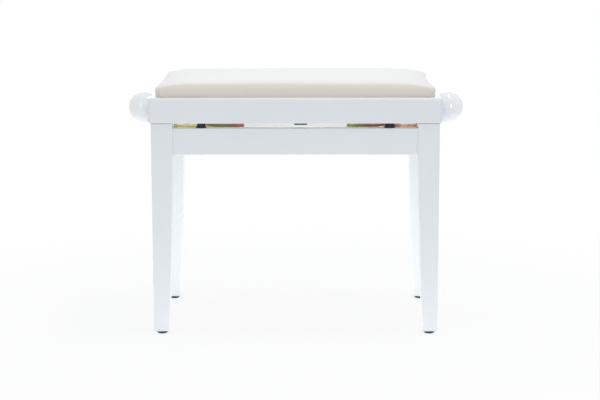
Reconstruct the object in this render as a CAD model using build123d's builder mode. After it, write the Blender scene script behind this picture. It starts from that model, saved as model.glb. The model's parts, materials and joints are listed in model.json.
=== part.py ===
"""Height-adjustable piano bench with a spindle-driven scissor lift.

Millimetres, +Z up, front towards -Y, origin on the floor under the middle of the bench.
The seat is drawn at its lowest setting. Pieces that repeat at the corners are drawn once,
for the right rear corner, and mirrored to the others.
"""

from build123d import *
import math
import os

os.makedirs("parts", exist_ok=True)

# Seat frame
SEAT_WIDTH = 550.0
SEAT_DEPTH = 325.0
SEAT_RAIL_HEIGHT = 48.0
SEAT_RAIL_WIDTH = 25.0
SEAT_CORNER_RADIUS = 6.5
SEAT_TOP_RADIUS = 6.0
SEAT_BOTTOM_RADIUS = 2.0
SEAT_GAP = 1.0
PANEL_THICKNESS = 12.0
PANEL_LEDGE = 10.0
PANEL_CLEARANCE = 0.3

# Legs and aprons
BASE_OVERHANG = 4.0
LEG_LENGTH = 400.0
LEG_TOP_SIZE = 41.0
LEG_FOOT_SIZE = 29.5
LEG_EDGE_RADIUS = 1.5
APRON_HEIGHT = 50.5
APRON_THICKNESS = 20.0
APRON_RECESS = 2.0
APRON_DROP = 8.5
APRON_EDGE_RADIUS = 1.5

# Foot glides
GLIDE_DIAMETER = 22.0
GLIDE_SOLE_DIAMETER = 17.0
GLIDE_HEIGHT = 6.0
GLIDE_RIM = 3.5
NAIL_DIAMETER = 3.0
NAIL_GRIP = 16.0
NAIL_HEAD_DIAMETER = 7.0
NAIL_HEAD_HEIGHT = 1.5
NAIL_RECESS = 2.5

# Corner blocks that hold the legs
BLOCK_HEIGHT = 21.0
BLOCK_INSET = 3.0
BLOCK_REACH = 55.0
BLOCK_LEG_GAP = 0.3
LEG_BOLT_DIAMETER = 8.0
LEG_BOLT_GRIP = 28.0
LEG_BOLT_TAIL = 11.0
LEG_NUT_WIDTH = 13.0
LEG_NUT_HEIGHT = 6.5
LEG_NUT_FLANGE_DIAMETER = 18.0
LEG_NUT_FLANGE = 1.6

# Rubber buffers on the front and rear aprons
BUFFER_X = 177.0
BUFFER_BASE_DIAMETER = 19.5
BUFFER_TOP_DIAMETER = 14.5
BUFFER_FLANGE = 2.4
BUFFER_SEAT_GAP = 0.3
BUFFER_POCKET_DEPTH = 4.0
BUFFER_POCKET_GAP = 0.3

# Scissor lift
LIFT = 90.0
SPINDLE_DROP = 12.5
CLOSED_RISE = 25.0
ARM_LENGTH = 130.0
ARM_WIDTH = 22.0
ARM_THICKNESS = 4.0
ARM_END_GAP = 2.0
ARM_PLANE_GAP = 0.5
PIVOT_DIAMETER = 8.0
PIVOT_SHOULDER_DIAMETER = 12.0
PIVOT_HEAD_DIAMETER = 13.0
PIVOT_HEAD_HEIGHT = 2.5
PIVOT_CLEARANCE = 0.1
SIDE_PLAY = 0.2
SLOT_CLEARANCE = 0.3
WASHER_DIAMETER = 14.0
RETAINER_THICKNESS = 1.6
JOURNAL_TAIL = 3.0
SLIDE_ROD_DIAMETER = 10.0

# Slide channels on the base and guide rails under the seat
SHEET = 3.0
SHEET_BEND_RADIUS = 3.5
CHANNEL_LEG_CLEARANCE = 4.5
CHANNEL_DEPTH_BELOW_PIVOT = 22.5
CHANNEL_OUTER_WALL_DROP = 3.5
CHANNEL_EAR_RADIUS = 8.5
CHANNEL_INNER_MARGIN = 10.0
CHANNEL_END_GAP = 0.5
ARM_RAIL_GAP = 4.0
GUIDE_FLANGE_BELOW_SPINDLE = 11.5
GUIDE_FLANGE_WIDTH = 25.0
GUIDE_END_GAP = 3.0

# Spindle, nuts and knobs
SPINDLE_DIAMETER = 14.0
SPINDLE_END_DIAMETER = 12.0
SPINDLE_CLEARANCE = 0.1
SPINDLE_END_PLAY = 0.3
SPINDLE_CHAMFER = 1.0
NUT_BLOCK_LENGTH = 24.0
NUT_BLOCK_DEPTH = 34.0
NUT_BLOCK_HEIGHT = 24.0
NUT_BLOCK_RADIUS = 3.0
NUT_SHAFT_DIAMETER = 12.0
BUSH_DIAMETER = 18.0
BUSH_FLANGE_DIAMETER = 26.0
BUSH_FLANGE = 1.2
BUSH_SEAT_CLEARANCE = 0.05
KNOB_RADIUS = 31.0
KNOB_NECK_INSET = 20.5
KNOB_GRIP = 26.0
KNOB_BORE_END_GAP = 1.0

# Cushion
CUSHION_WIDTH = 527.0
CUSHION_DEPTH = 303.0
CUSHION_HEIGHT = 30.0
COVER_THICKNESS = 1.2
COVER_TURN_UNDER = 25.0
BOARD_THICKNESS = 6.0
FOAM_EDGE = 3.0
# Each level: share of the height, drawn in at the ends, drawn in front and back, corner radius
CUSHION_LEVELS = (
    (0.00, 3.0, 3.0, 10.0),
    (0.23, 0.5, 0.5, 12.0),
    (0.47, 0.0, 0.0, 14.0),
    (0.66, 3.5, 1.3, 20.0),
    (0.80, 12.0, 5.5, 30.0),
    (0.90, 26.0, 14.5, 45.0),
    (0.967, 58.0, 40.0, 62.0),
    (1.00, 130.0, 92.0, 52.0),
)

# Felt pad under the front rail
FELT_X = 10.0
FELT_WIDTH = 24.0
FELT_DEPTH = 12.0
FELT_THICKNESS = 2.5
FELT_SETBACK = 4.0

# Screws
SCREW_DIAMETER = 4.0
SCREW_HEAD_DIAMETER = 8.0
SCREW_HEAD_HEIGHT = 2.4
SCREW_HEAD_TOP_DIAMETER = 5.5
FASTENER_CLEARANCE = 0.1
CHANNEL_SCREW_GRIP = 13.0
CHANNEL_SCREW_MARGIN = 14.0
CHANNEL_SCREW_DROP = 10.5
BUFFER_SCREW_GRIP = 14.0
GUIDE_SCREW_GRIP = 9.0
GUIDE_SCREW_MIDDLE_X = 40.0
GUIDE_SCREW_END_MARGIN = 23.0
PANEL_SCREW_GRIP = 22.0
PANEL_SCREW_MIDDLE_X = 90.0
PANEL_SCREW_END_MARGIN = 35.0
CUSHION_SCREW_GRIP = 4.5
CUSHION_SCREW_X = 190.0
CUSHION_SCREW_Y = 60.0

# Heights
leg_bottom = GLIDE_HEIGHT
leg_top = leg_bottom + LEG_LENGTH
apron_top = leg_top - APRON_DROP
apron_bottom = apron_top - APRON_HEIGHT
seat_bottom = leg_top + SEAT_GAP
seat_top = seat_bottom + SEAT_RAIL_HEIGHT
panel_bottom = seat_top - PANEL_THICKNESS
spindle_z = seat_bottom + SPINDLE_DROP
base_pivot_z = spindle_z - CLOSED_RISE

# Plan of the base
base_half_width = SEAT_WIDTH / 2 - BASE_OVERHANG
base_half_depth = SEAT_DEPTH / 2 - BASE_OVERHANG
leg_x = base_half_width - LEG_TOP_SIZE / 2
leg_y = base_half_depth - LEG_TOP_SIZE / 2
leg_inner_x = base_half_width - LEG_TOP_SIZE
leg_inner_y = base_half_depth - LEG_TOP_SIZE
foot_x = base_half_width - LEG_FOOT_SIZE / 2
foot_y = base_half_depth - LEG_FOOT_SIZE / 2
apron_outer_x = base_half_width - APRON_RECESS
apron_outer_y = base_half_depth - APRON_RECESS
apron_inner_x = apron_outer_x - APRON_THICKNESS
apron_inner_y = apron_outer_y - APRON_THICKNESS
apron_z = (apron_top + apron_bottom) / 2

# Plan of the seat frame
rail_inner_x = SEAT_WIDTH / 2 - SEAT_RAIL_WIDTH
rail_inner_y = SEAT_DEPTH / 2 - SEAT_RAIL_WIDTH
ledge_x = rail_inner_x + PANEL_LEDGE
ledge_y = rail_inner_y + PANEL_LEDGE

# Scissor geometry, right rear
closed_angle = math.degrees(math.asin(CLOSED_RISE / ARM_LENGTH))
open_angle = math.degrees(math.asin((CLOSED_RISE + LIFT) / ARM_LENGTH))
outer_pivot_x = apron_inner_x - ARM_END_GAP - ARM_WIDTH / 2
inner_pivot_x = outer_pivot_x - ARM_LENGTH * math.cos(math.radians(closed_angle))
raised_pivot_x = outer_pivot_x - ARM_LENGTH * math.cos(math.radians(open_angle))
centre_pivot_x = (outer_pivot_x + inner_pivot_x) / 2
centre_pivot_z = (spindle_z + base_pivot_z) / 2
pivot_radius = PIVOT_DIAMETER / 2
pivot_hole_radius = pivot_radius + PIVOT_CLEARANCE
slot_length = raised_pivot_x - inner_pivot_x
slot_width = PIVOT_DIAMETER + 2 * SLOT_CLEARANCE
slot_x = (raised_pivot_x + inner_pivot_x) / 2

# Planes of the lift, counted from the middle of the bench towards the rear
plate_outer_y = leg_inner_y - CHANNEL_LEG_CLEARANCE
plate_inner_y = plate_outer_y - SHEET
lift_arm_outer_y = plate_inner_y - ARM_RAIL_GAP
lift_arm_inner_y = lift_arm_outer_y - ARM_THICKNESS
brace_arm_outer_y = lift_arm_inner_y - ARM_PLANE_GAP
brace_arm_inner_y = brace_arm_outer_y - ARM_THICKNESS
journal_end_y = plate_outer_y + JOURNAL_TAIL

CORNERS = {
    "front_left": (-1, -1),
    "front_right": (1, -1),
    "rear_left": (-1, 1),
    "rear_right": (1, 1),
}


def save(part, node):
    """Label a finished piece and write it under its node's name."""
    part.label = node
    export_step(part, f"parts/{node}.step")


def at_corner(part, side_x, side_y):
    """The right rear piece, mirrored to another corner of the bench."""
    if side_x < 0:
        part = mirror(part, about=Plane.YZ)
    if side_y < 0:
        part = mirror(part, about=Plane.XZ)
    return part


def save_at_corners(part, stem):
    """Write a right rear piece and its mirrored twins as one node for each corner."""
    for corner, (side_x, side_y) in CORNERS.items():
        save(at_corner(part, side_x, side_y), f"{stem}_{corner}")


def turned_steps(x, z, steps):
    """Round steps along Y about one axis, each from a near to a far place with its radius."""
    for near_y, far_y, radius in steps:
        with Locations(Plane(origin=(x, near_y, z), z_dir=(0, 1, 0))):
            Cylinder(radius, far_y - near_y, align=(Align.CENTER, Align.CENTER, Align.MIN))


def washer(x, z, near_y, far_y):
    """A round washer on a pivot journal."""
    with Locations(Plane(origin=(x, near_y, z), z_dir=(0, 1, 0))):
        Cylinder(WASHER_DIAMETER / 2, far_y - near_y, align=(Align.CENTER, Align.CENTER, Align.MIN))
        Cylinder(
            pivot_hole_radius,
            far_y - near_y,
            align=(Align.CENTER, Align.CENTER, Align.MIN),
            mode=Mode.SUBTRACT,
        )


def wood_screw(seat_plane, grip):
    """A pan-head screw whose head bears on the plane and whose shank runs along its normal."""
    with Locations(seat_plane):
        Cylinder(SCREW_DIAMETER / 2, grip, align=(Align.CENTER, Align.CENTER, Align.MIN))
        Cone(
            SCREW_HEAD_TOP_DIAMETER / 2,
            SCREW_HEAD_DIAMETER / 2,
            SCREW_HEAD_HEIGHT,
            align=(Align.CENTER, Align.CENTER, Align.MAX),
        )


def screw_hole(seat_plane, depth):
    """A hole for a wood screw, from a little behind the plane along its normal."""
    with Locations(seat_plane):
        Cylinder(
            SCREW_DIAMETER / 2 + FASTENER_CLEARANCE,
            depth + FASTENER_CLEARANCE,
            align=(Align.CENTER, Align.CENTER, Align.MIN),
            mode=Mode.SUBTRACT,
        )


# Hanger bolt axis: through the inner corner of the leg, square to the corner block's face
block_bottom = apron_bottom + BLOCK_INSET
leg_bolt_z = block_bottom + BLOCK_HEIGHT / 2
leg_bolt_plane = Plane(origin=(leg_inner_x, leg_inner_y, leg_bolt_z), z_dir=(1, 1, 0))
block_face_depth = (leg_inner_y + BLOCK_REACH - apron_inner_y) / math.sqrt(2)
leg_bolt_hole_radius = LEG_BOLT_DIAMETER / 2 + FASTENER_CLEARANCE

# Legs: square under the seat, tapered on the two inner faces below the aprons
with BuildPart() as leg:
    with BuildSketch(Plane.XY.offset(apron_bottom)):
        with Locations((leg_x, leg_y)):
            RectangleRounded(LEG_TOP_SIZE, LEG_TOP_SIZE, LEG_EDGE_RADIUS)
    extrude(amount=leg_top - apron_bottom)
    with BuildSketch(Plane.XY.offset(apron_bottom)):
        with Locations((leg_x, leg_y)):
            RectangleRounded(LEG_TOP_SIZE, LEG_TOP_SIZE, LEG_EDGE_RADIUS)
    with BuildSketch(Plane.XY.offset(leg_bottom)):
        with Locations((foot_x, foot_y)):
            RectangleRounded(LEG_FOOT_SIZE, LEG_FOOT_SIZE, LEG_EDGE_RADIUS)
    loft()
    with BuildSketch(Plane.XY.offset(leg_bottom)):
        with Locations((foot_x, foot_y)):
            Circle(NAIL_DIAMETER / 2 + FASTENER_CLEARANCE)
    extrude(amount=NAIL_GRIP + FASTENER_CLEARANCE, mode=Mode.SUBTRACT)
    with BuildSketch(leg_bolt_plane):
        Circle(leg_bolt_hole_radius)
    extrude(amount=LEG_BOLT_GRIP + FASTENER_CLEARANCE, mode=Mode.SUBTRACT)
save_at_corners(leg.part, "leg")

# Foot glides with a rounded rim and a recess for the nail
with BuildPart() as foot_glides:
    with Locations((foot_x, foot_y, 0)):
        Cone(
            GLIDE_SOLE_DIAMETER / 2,
            GLIDE_DIAMETER / 2,
            GLIDE_HEIGHT - GLIDE_RIM,
            align=(Align.CENTER, Align.CENTER, Align.MIN),
        )
    with Locations((foot_x, foot_y, GLIDE_HEIGHT)):
        Cylinder(GLIDE_DIAMETER / 2, GLIDE_RIM, align=(Align.CENTER, Align.CENTER, Align.MAX))
        Hole(NAIL_DIAMETER / 2 + FASTENER_CLEARANCE, GLIDE_HEIGHT)
    with BuildSketch():
        with Locations((foot_x, foot_y)):
            Circle(NAIL_HEAD_DIAMETER / 2 + FASTENER_CLEARANCE)
    extrude(amount=NAIL_RECESS, mode=Mode.SUBTRACT)
    mirror(about=Plane.YZ)
    mirror(about=Plane.XZ)
save(foot_glides.part, "foot_glides")

with BuildPart() as glide_nails:
    with BuildSketch(Plane.XY.offset(NAIL_RECESS - NAIL_HEAD_HEIGHT)):
        with Locations((foot_x, foot_y)):
            Circle(NAIL_HEAD_DIAMETER / 2)
    extrude(amount=NAIL_HEAD_HEIGHT)
    with BuildSketch(Plane.XY.offset(NAIL_RECESS)):
        with Locations((foot_x, foot_y)):
            Circle(NAIL_DIAMETER / 2)
    extrude(amount=GLIDE_HEIGHT - NAIL_RECESS + NAIL_GRIP)
    mirror(about=Plane.YZ)
    mirror(about=Plane.XZ)
save(glide_nails.part, "glide_nails")

# Places of the fasteners in the long aprons
channel_outer_x = leg_inner_x - CHANNEL_END_GAP
channel_inner_x = inner_pivot_x - CHANNEL_INNER_MARGIN
channel_screw_xs = (
    channel_inner_x + CHANNEL_SCREW_MARGIN,
    (channel_inner_x + channel_outer_x) / 2,
    channel_outer_x - CHANNEL_SCREW_MARGIN,
)
channel_screw_z = base_pivot_z - CHANNEL_SCREW_DROP
channel_wall_y = apron_inner_y - SHEET
channel_screw_planes = [
    Plane(origin=(x, channel_wall_y, channel_screw_z), z_dir=(0, 1, 0)) for x in channel_screw_xs
]
channel_screw_length = SHEET + CHANNEL_SCREW_GRIP
buffer_y = apron_outer_y - APRON_THICKNESS / 2
buffer_top = seat_bottom - BUFFER_SEAT_GAP
buffer_pocket_z = buffer_top - BUFFER_POCKET_DEPTH
buffer_screw_plane = Plane(origin=(BUFFER_X, buffer_y, buffer_pocket_z), z_dir=(0, 0, -1))
buffer_screw_length = buffer_pocket_z - apron_top + BUFFER_SCREW_GRIP

# Aprons between the legs, set back a little from the faces of the legs
with BuildPart() as apron_rear:
    with BuildSketch(Plane.YZ):
        with Locations((apron_outer_y - APRON_THICKNESS / 2, apron_z)):
            RectangleRounded(APRON_THICKNESS, APRON_HEIGHT, APRON_EDGE_RADIUS)
    extrude(amount=leg_inner_x)
    for plane in channel_screw_planes:
        screw_hole(plane, channel_screw_length)
    screw_hole(buffer_screw_plane, buffer_screw_length)
    mirror(about=Plane.YZ)
save(apron_rear.part, "apron_rear")

with BuildPart() as apron_front:
    mirror(apron_rear.part, about=Plane.XZ)
save(apron_front.part, "apron_front")

with BuildPart() as apron_right:
    with BuildSketch(Plane.XZ.offset(-leg_inner_y)):
        with Locations((apron_outer_x - APRON_THICKNESS / 2, apron_z)):
            RectangleRounded(APRON_THICKNESS, APRON_HEIGHT, APRON_EDGE_RADIUS)
    extrude(amount=2 * leg_inner_y)
save(apron_right.part, "apron_right")

with BuildPart() as apron_left:
    mirror(apron_right.part, about=Plane.YZ)
save(apron_left.part, "apron_left")

# Corner blocks notched round the legs, with hanger bolts and flange nuts
with BuildPart() as corner_blocks:
    with BuildSketch(Plane.XY.offset(block_bottom)):
        with BuildLine():
            Polyline(
                (leg_inner_x - BLOCK_LEG_GAP, apron_inner_y),
                (leg_inner_x - BLOCK_REACH, apron_inner_y),
                (apron_inner_x, leg_inner_y - BLOCK_REACH),
                (apron_inner_x, leg_inner_y - BLOCK_LEG_GAP),
                (leg_inner_x - BLOCK_LEG_GAP, leg_inner_y - BLOCK_LEG_GAP),
                close=True,
            )
        make_face()
    extrude(amount=BLOCK_HEIGHT)
    with BuildSketch(leg_bolt_plane):
        Circle(leg_bolt_hole_radius)
    extrude(amount=2 * block_face_depth, both=True, mode=Mode.SUBTRACT)
    mirror(about=Plane.YZ)
    mirror(about=Plane.XZ)
save(corner_blocks.part, "corner_blocks")

with BuildPart() as leg_bolts:
    with BuildSketch(leg_bolt_plane.offset(-block_face_depth - LEG_BOLT_TAIL)):
        Circle(LEG_BOLT_DIAMETER / 2)
    extrude(amount=LEG_BOLT_TAIL + block_face_depth + LEG_BOLT_GRIP)
    mirror(about=Plane.YZ)
    mirror(about=Plane.XZ)
save(leg_bolts.part, "leg_bolts")

with BuildPart() as leg_nuts:
    with BuildSketch(leg_bolt_plane.offset(-block_face_depth)):
        Circle(LEG_NUT_FLANGE_DIAMETER / 2)
    extrude(amount=-LEG_NUT_FLANGE)
    with BuildSketch(leg_bolt_plane.offset(-block_face_depth - LEG_NUT_FLANGE)):
        RegularPolygon(LEG_NUT_WIDTH / 2, 6, major_radius=False)
    extrude(amount=-LEG_NUT_HEIGHT)
    with BuildSketch(leg_bolt_plane.offset(-block_face_depth)):
        Circle(leg_bolt_hole_radius)
    extrude(amount=-LEG_NUT_FLANGE - LEG_NUT_HEIGHT, mode=Mode.SUBTRACT)
    mirror(about=Plane.YZ)
    mirror(about=Plane.XZ)
save(leg_nuts.part, "leg_nuts")

# Rubber buffers that the lowered seat comes down on
with BuildPart() as rubber_buffers:
    with Locations((BUFFER_X, buffer_y, apron_top)):
        Cylinder(BUFFER_BASE_DIAMETER / 2, BUFFER_FLANGE, align=(Align.CENTER, Align.CENTER, Align.MIN))
        Cone(
            (BUFFER_BASE_DIAMETER + BUFFER_TOP_DIAMETER) / 4,
            BUFFER_TOP_DIAMETER / 2,
            buffer_top - apron_top,
            align=(Align.CENTER, Align.CENTER, Align.MIN),
        )
    with BuildSketch(Plane.XY.offset(buffer_top)):
        with Locations((BUFFER_X, buffer_y)):
            Circle(SCREW_HEAD_DIAMETER / 2 + BUFFER_POCKET_GAP)
    extrude(amount=-BUFFER_POCKET_DEPTH, mode=Mode.SUBTRACT)
    screw_hole(buffer_screw_plane, buffer_screw_length)
    mirror(about=Plane.YZ)
    mirror(about=Plane.XZ)
save(rubber_buffers.part, "rubber_buffers")

with BuildPart() as buffer_screws:
    wood_screw(buffer_screw_plane, buffer_screw_length)
    mirror(about=Plane.YZ)
    mirror(about=Plane.XZ)
save(buffer_screws.part, "buffer_screws")

# Slide channels: folded sheet, the taller wall slotted for the slide rod, an ear for the pivot
channel_bottom = base_pivot_z - CHANNEL_DEPTH_BELOW_PIVOT
channel_inner_top = base_pivot_z + CHANNEL_EAR_RADIUS
channel_outer_top = apron_top - CHANNEL_OUTER_WALL_DROP
with BuildPart() as slide_channel:
    with BuildSketch(Plane.YZ.offset(channel_inner_x)):
        with BuildLine():
            FilletPolyline(
                (apron_inner_y - SHEET / 2, channel_outer_top),
                (apron_inner_y - SHEET / 2, channel_bottom + SHEET / 2),
                (plate_outer_y - SHEET / 2, channel_bottom + SHEET / 2),
                (plate_outer_y - SHEET / 2, channel_inner_top),
                radius=SHEET_BEND_RADIUS,
            )
        trace(line_width=SHEET)
    extrude(amount=channel_outer_x - channel_inner_x)
    with BuildSketch(Plane.XZ.offset(-plate_inner_y)):
        with Locations(((channel_outer_x + outer_pivot_x) / 2, base_pivot_z)):
            Rectangle(outer_pivot_x - channel_outer_x, 2 * CHANNEL_EAR_RADIUS)
        with Locations((outer_pivot_x, base_pivot_z)):
            Circle(CHANNEL_EAR_RADIUS)
    extrude(amount=-SHEET)
    with BuildSketch(Plane.XZ.offset(-plate_inner_y)):
        with Locations((slot_x, base_pivot_z)):
            SlotCenterToCenter(slot_length, slot_width)
        with Locations((outer_pivot_x, base_pivot_z)):
            Circle(pivot_hole_radius)
    extrude(amount=-SHEET, mode=Mode.SUBTRACT)
    for plane in channel_screw_planes:
        screw_hole(plane, SHEET)
save_at_corners(slide_channel.part, "slide_channel")

with BuildPart() as channel_screws:
    for plane in channel_screw_planes:
        wood_screw(plane, channel_screw_length)
    mirror(about=Plane.YZ)
    mirror(about=Plane.XZ)
save(channel_screws.part, "channel_screws")

# Shouldered pins that the lift arms swing on, riveted into the channels
with BuildPart() as base_pivot_pins:
    turned_steps(
        outer_pivot_x,
        base_pivot_z,
        (
            (plate_outer_y, plate_outer_y + PIVOT_HEAD_HEIGHT, PIVOT_HEAD_DIAMETER / 2),
            (lift_arm_inner_y - SIDE_PLAY, plate_outer_y, pivot_radius),
            (lift_arm_outer_y + SIDE_PLAY, plate_inner_y, PIVOT_SHOULDER_DIAMETER / 2),
            (
                lift_arm_inner_y - SIDE_PLAY - PIVOT_HEAD_HEIGHT,
                lift_arm_inner_y - SIDE_PLAY,
                PIVOT_HEAD_DIAMETER / 2,
            ),
        ),
    )
    mirror(about=Plane.YZ)
    mirror(about=Plane.XZ)
save(base_pivot_pins.part, "base_pivot_pins")

# Crossed arms: flat bars with round ends and three pivot holes
with BuildPart() as lift_arm:
    with BuildSketch(Plane.XZ.offset(-lift_arm_inner_y)):
        with Locations((centre_pivot_x, centre_pivot_z)):
            SlotCenterToCenter(ARM_LENGTH, ARM_WIDTH, rotation=-closed_angle)
        with Locations(
            (outer_pivot_x, base_pivot_z), (centre_pivot_x, centre_pivot_z), (inner_pivot_x, spindle_z)
        ):
            Circle(pivot_hole_radius, mode=Mode.SUBTRACT)
    extrude(amount=-ARM_THICKNESS)
save_at_corners(lift_arm.part, "lift_arm")

with BuildPart() as brace_arm:
    with BuildSketch(Plane.XZ.offset(-brace_arm_inner_y)):
        with Locations((centre_pivot_x, centre_pivot_z)):
            SlotCenterToCenter(ARM_LENGTH, ARM_WIDTH, rotation=closed_angle)
        with Locations(
            (inner_pivot_x, base_pivot_z), (centre_pivot_x, centre_pivot_z), (outer_pivot_x, spindle_z)
        ):
            Circle(pivot_hole_radius, mode=Mode.SUBTRACT)
    extrude(amount=-ARM_THICKNESS)
save_at_corners(brace_arm.part, "brace_arm")

# Centre rivets, headed over the brace arms, on which the lift arms turn
with BuildPart() as centre_rivets:
    turned_steps(
        centre_pivot_x,
        centre_pivot_z,
        (
            (brace_arm_inner_y - PIVOT_HEAD_HEIGHT, brace_arm_inner_y, PIVOT_HEAD_DIAMETER / 2),
            (brace_arm_inner_y, lift_arm_outer_y + SIDE_PLAY, pivot_radius),
            (
                lift_arm_outer_y + SIDE_PLAY,
                lift_arm_outer_y + SIDE_PLAY + PIVOT_HEAD_HEIGHT,
                PIVOT_HEAD_DIAMETER / 2,
            ),
        ),
    )
    mirror(about=Plane.XZ)

# Slide rods that join the front and rear brace arms and run in the channel slots
slide_rod_shoulder_y = brace_arm_inner_y - SIDE_PLAY
with BuildPart() as slide_rod:
    turned_steps(
        inner_pivot_x,
        base_pivot_z,
        (
            (-slide_rod_shoulder_y, slide_rod_shoulder_y, SLIDE_ROD_DIAMETER / 2),
            (-journal_end_y, journal_end_y, pivot_radius),
        ),
    )

with BuildPart() as slide_rod_washers:
    washer(inner_pivot_x, base_pivot_z, brace_arm_outer_y + SIDE_PLAY, plate_inner_y - SIDE_PLAY)
    washer(
        inner_pivot_x,
        base_pivot_z,
        plate_outer_y + SIDE_PLAY,
        plate_outer_y + SIDE_PLAY + RETAINER_THICKNESS,
    )
    mirror(about=Plane.XZ)

# Nut bars: threaded block on the spindle, with a shaft to the lift arms at each end
nut_shaft_end_y = lift_arm_inner_y - SIDE_PLAY
with BuildPart() as nut_bar:
    with Locations((inner_pivot_x, 0, spindle_z)):
        Box(NUT_BLOCK_LENGTH, NUT_BLOCK_DEPTH, NUT_BLOCK_HEIGHT)
    fillet(nut_bar.edges().filter_by(Axis.X), NUT_BLOCK_RADIUS)
    turned_steps(
        inner_pivot_x,
        spindle_z,
        (
            (-nut_shaft_end_y, nut_shaft_end_y, NUT_SHAFT_DIAMETER / 2),
            (-journal_end_y, journal_end_y, pivot_radius),
        ),
    )
    with BuildSketch(Plane.YZ.offset(inner_pivot_x - NUT_BLOCK_LENGTH / 2)):
        with Locations((0, spindle_z)):
            Circle(SPINDLE_DIAMETER / 2 + SPINDLE_CLEARANCE)
    extrude(amount=NUT_BLOCK_LENGTH, mode=Mode.SUBTRACT)

with BuildPart() as nut_bar_washers:
    washer(inner_pivot_x, spindle_z, lift_arm_outer_y + SIDE_PLAY, plate_inner_y - SIDE_PLAY)
    washer(
        inner_pivot_x,
        spindle_z,
        plate_outer_y + SIDE_PLAY,
        plate_outer_y + SIDE_PLAY + RETAINER_THICKNESS,
    )
    mirror(about=Plane.XZ)

for side, side_x in (("left", -1), ("right", 1)):
    for stem, piece in (
        ("centre_rivets", centre_rivets),
        ("slide_rod", slide_rod),
        ("slide_rod_washers", slide_rod_washers),
        ("nut_bar", nut_bar),
        ("nut_bar_washers", nut_bar_washers),
    ):
        save(at_corner(piece.part, side_x, 1), f"{stem}_{side}")

# Seat frame: one ring with a rounded top edge, cut on the mitres into four rails
panel_screw_xs = (PANEL_SCREW_MIDDLE_X, rail_inner_x - PANEL_SCREW_END_MARGIN)
panel_screw_y = rail_inner_y + PANEL_LEDGE / 2
panel_screw_planes = [
    Plane(origin=(x, panel_screw_y, seat_top - SCREW_HEAD_HEIGHT), z_dir=(0, 0, -1)) for x in panel_screw_xs
]
panel_screw_length = PANEL_THICKNESS - SCREW_HEAD_HEIGHT + PANEL_SCREW_GRIP
with BuildPart() as seat_ring:
    with BuildSketch(Plane.XY.offset(seat_bottom)):
        RectangleRounded(SEAT_WIDTH, SEAT_DEPTH, SEAT_CORNER_RADIUS)
        Rectangle(2 * rail_inner_x, 2 * rail_inner_y, mode=Mode.SUBTRACT)
    extrude(amount=SEAT_RAIL_HEIGHT)
    fillet(seat_ring.faces().sort_by(Axis.Z)[-1].outer_wire().edges(), SEAT_TOP_RADIUS)
    fillet(seat_ring.faces().sort_by(Axis.Z)[0].outer_wire().edges(), SEAT_BOTTOM_RADIUS)
    with BuildSketch(Plane.XY.offset(seat_top)):
        Rectangle(2 * ledge_x, 2 * ledge_y)
    extrude(amount=-PANEL_THICKNESS, mode=Mode.SUBTRACT)
    with BuildSketch(Plane.YZ.offset(-SEAT_WIDTH / 2)):
        with Locations((0, spindle_z)):
            Circle(BUSH_DIAMETER / 2 + BUSH_SEAT_CLEARANCE)
    extrude(amount=SEAT_WIDTH, mode=Mode.SUBTRACT)
    for side_x in (-1, 1):
        for side_y in (-1, 1):
            for x in panel_screw_xs:
                screw_hole(
                    Plane(origin=(side_x * x, side_y * panel_screw_y, panel_bottom), z_dir=(0, 0, -1)),
                    PANEL_SCREW_GRIP,
                )

right_rear_mitre = (SEAT_WIDTH / 2, SEAT_DEPTH / 2, 0)
left_rear_mitre = (-SEAT_WIDTH / 2, SEAT_DEPTH / 2, 0)
right_front_mitre = (SEAT_WIDTH / 2, -SEAT_DEPTH / 2, 0)
with BuildPart() as seat_rail_rear:
    add(seat_ring.part)
    split(bisect_by=Plane.XZ, keep=Keep.BOTTOM)
    split(bisect_by=Plane(origin=right_rear_mitre, z_dir=(-1, 1, 0)), keep=Keep.TOP)
    split(bisect_by=Plane(origin=left_rear_mitre, z_dir=(1, 1, 0)), keep=Keep.TOP)
save(seat_rail_rear.part, "seat_rail_rear")

with BuildPart() as seat_rail_front:
    mirror(seat_rail_rear.part, about=Plane.XZ)
save(seat_rail_front.part, "seat_rail_front")

with BuildPart() as seat_rail_right:
    add(seat_ring.part)
    split(bisect_by=Plane.YZ, keep=Keep.TOP)
    split(bisect_by=Plane(origin=right_rear_mitre, z_dir=(1, -1, 0)), keep=Keep.TOP)
    split(bisect_by=Plane(origin=right_front_mitre, z_dir=(1, 1, 0)), keep=Keep.TOP)
save(seat_rail_right.part, "seat_rail_right")

with BuildPart() as seat_rail_left:
    mirror(seat_rail_right.part, about=Plane.YZ)
save(seat_rail_left.part, "seat_rail_left")

# Cushion board height and the screws that hold board and guide rails to the seat panel
board_bottom = seat_top + COVER_THICKNESS
cushion_screw_length = PANEL_THICKNESS + COVER_THICKNESS + CUSHION_SCREW_GRIP
cushion_screw_plane = Plane(origin=(CUSHION_SCREW_X, CUSHION_SCREW_Y, panel_bottom), z_dir=(0, 0, 1))
guide_top = panel_bottom
guide_half_length = rail_inner_x - GUIDE_END_GAP
guide_screw_end_x = guide_half_length - GUIDE_SCREW_END_MARGIN
guide_screw_xs = (
    GUIDE_SCREW_MIDDLE_X,
    (GUIDE_SCREW_MIDDLE_X + guide_screw_end_x) / 2,
    guide_screw_end_x,
)
guide_flange_inner_y = plate_outer_y - GUIDE_FLANGE_WIDTH
guide_screw_y = (guide_flange_inner_y + brace_arm_inner_y) / 2
guide_screw_planes = [
    Plane(origin=(x, guide_screw_y, guide_top - SHEET), z_dir=(0, 0, 1)) for x in guide_screw_xs
]

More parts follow.
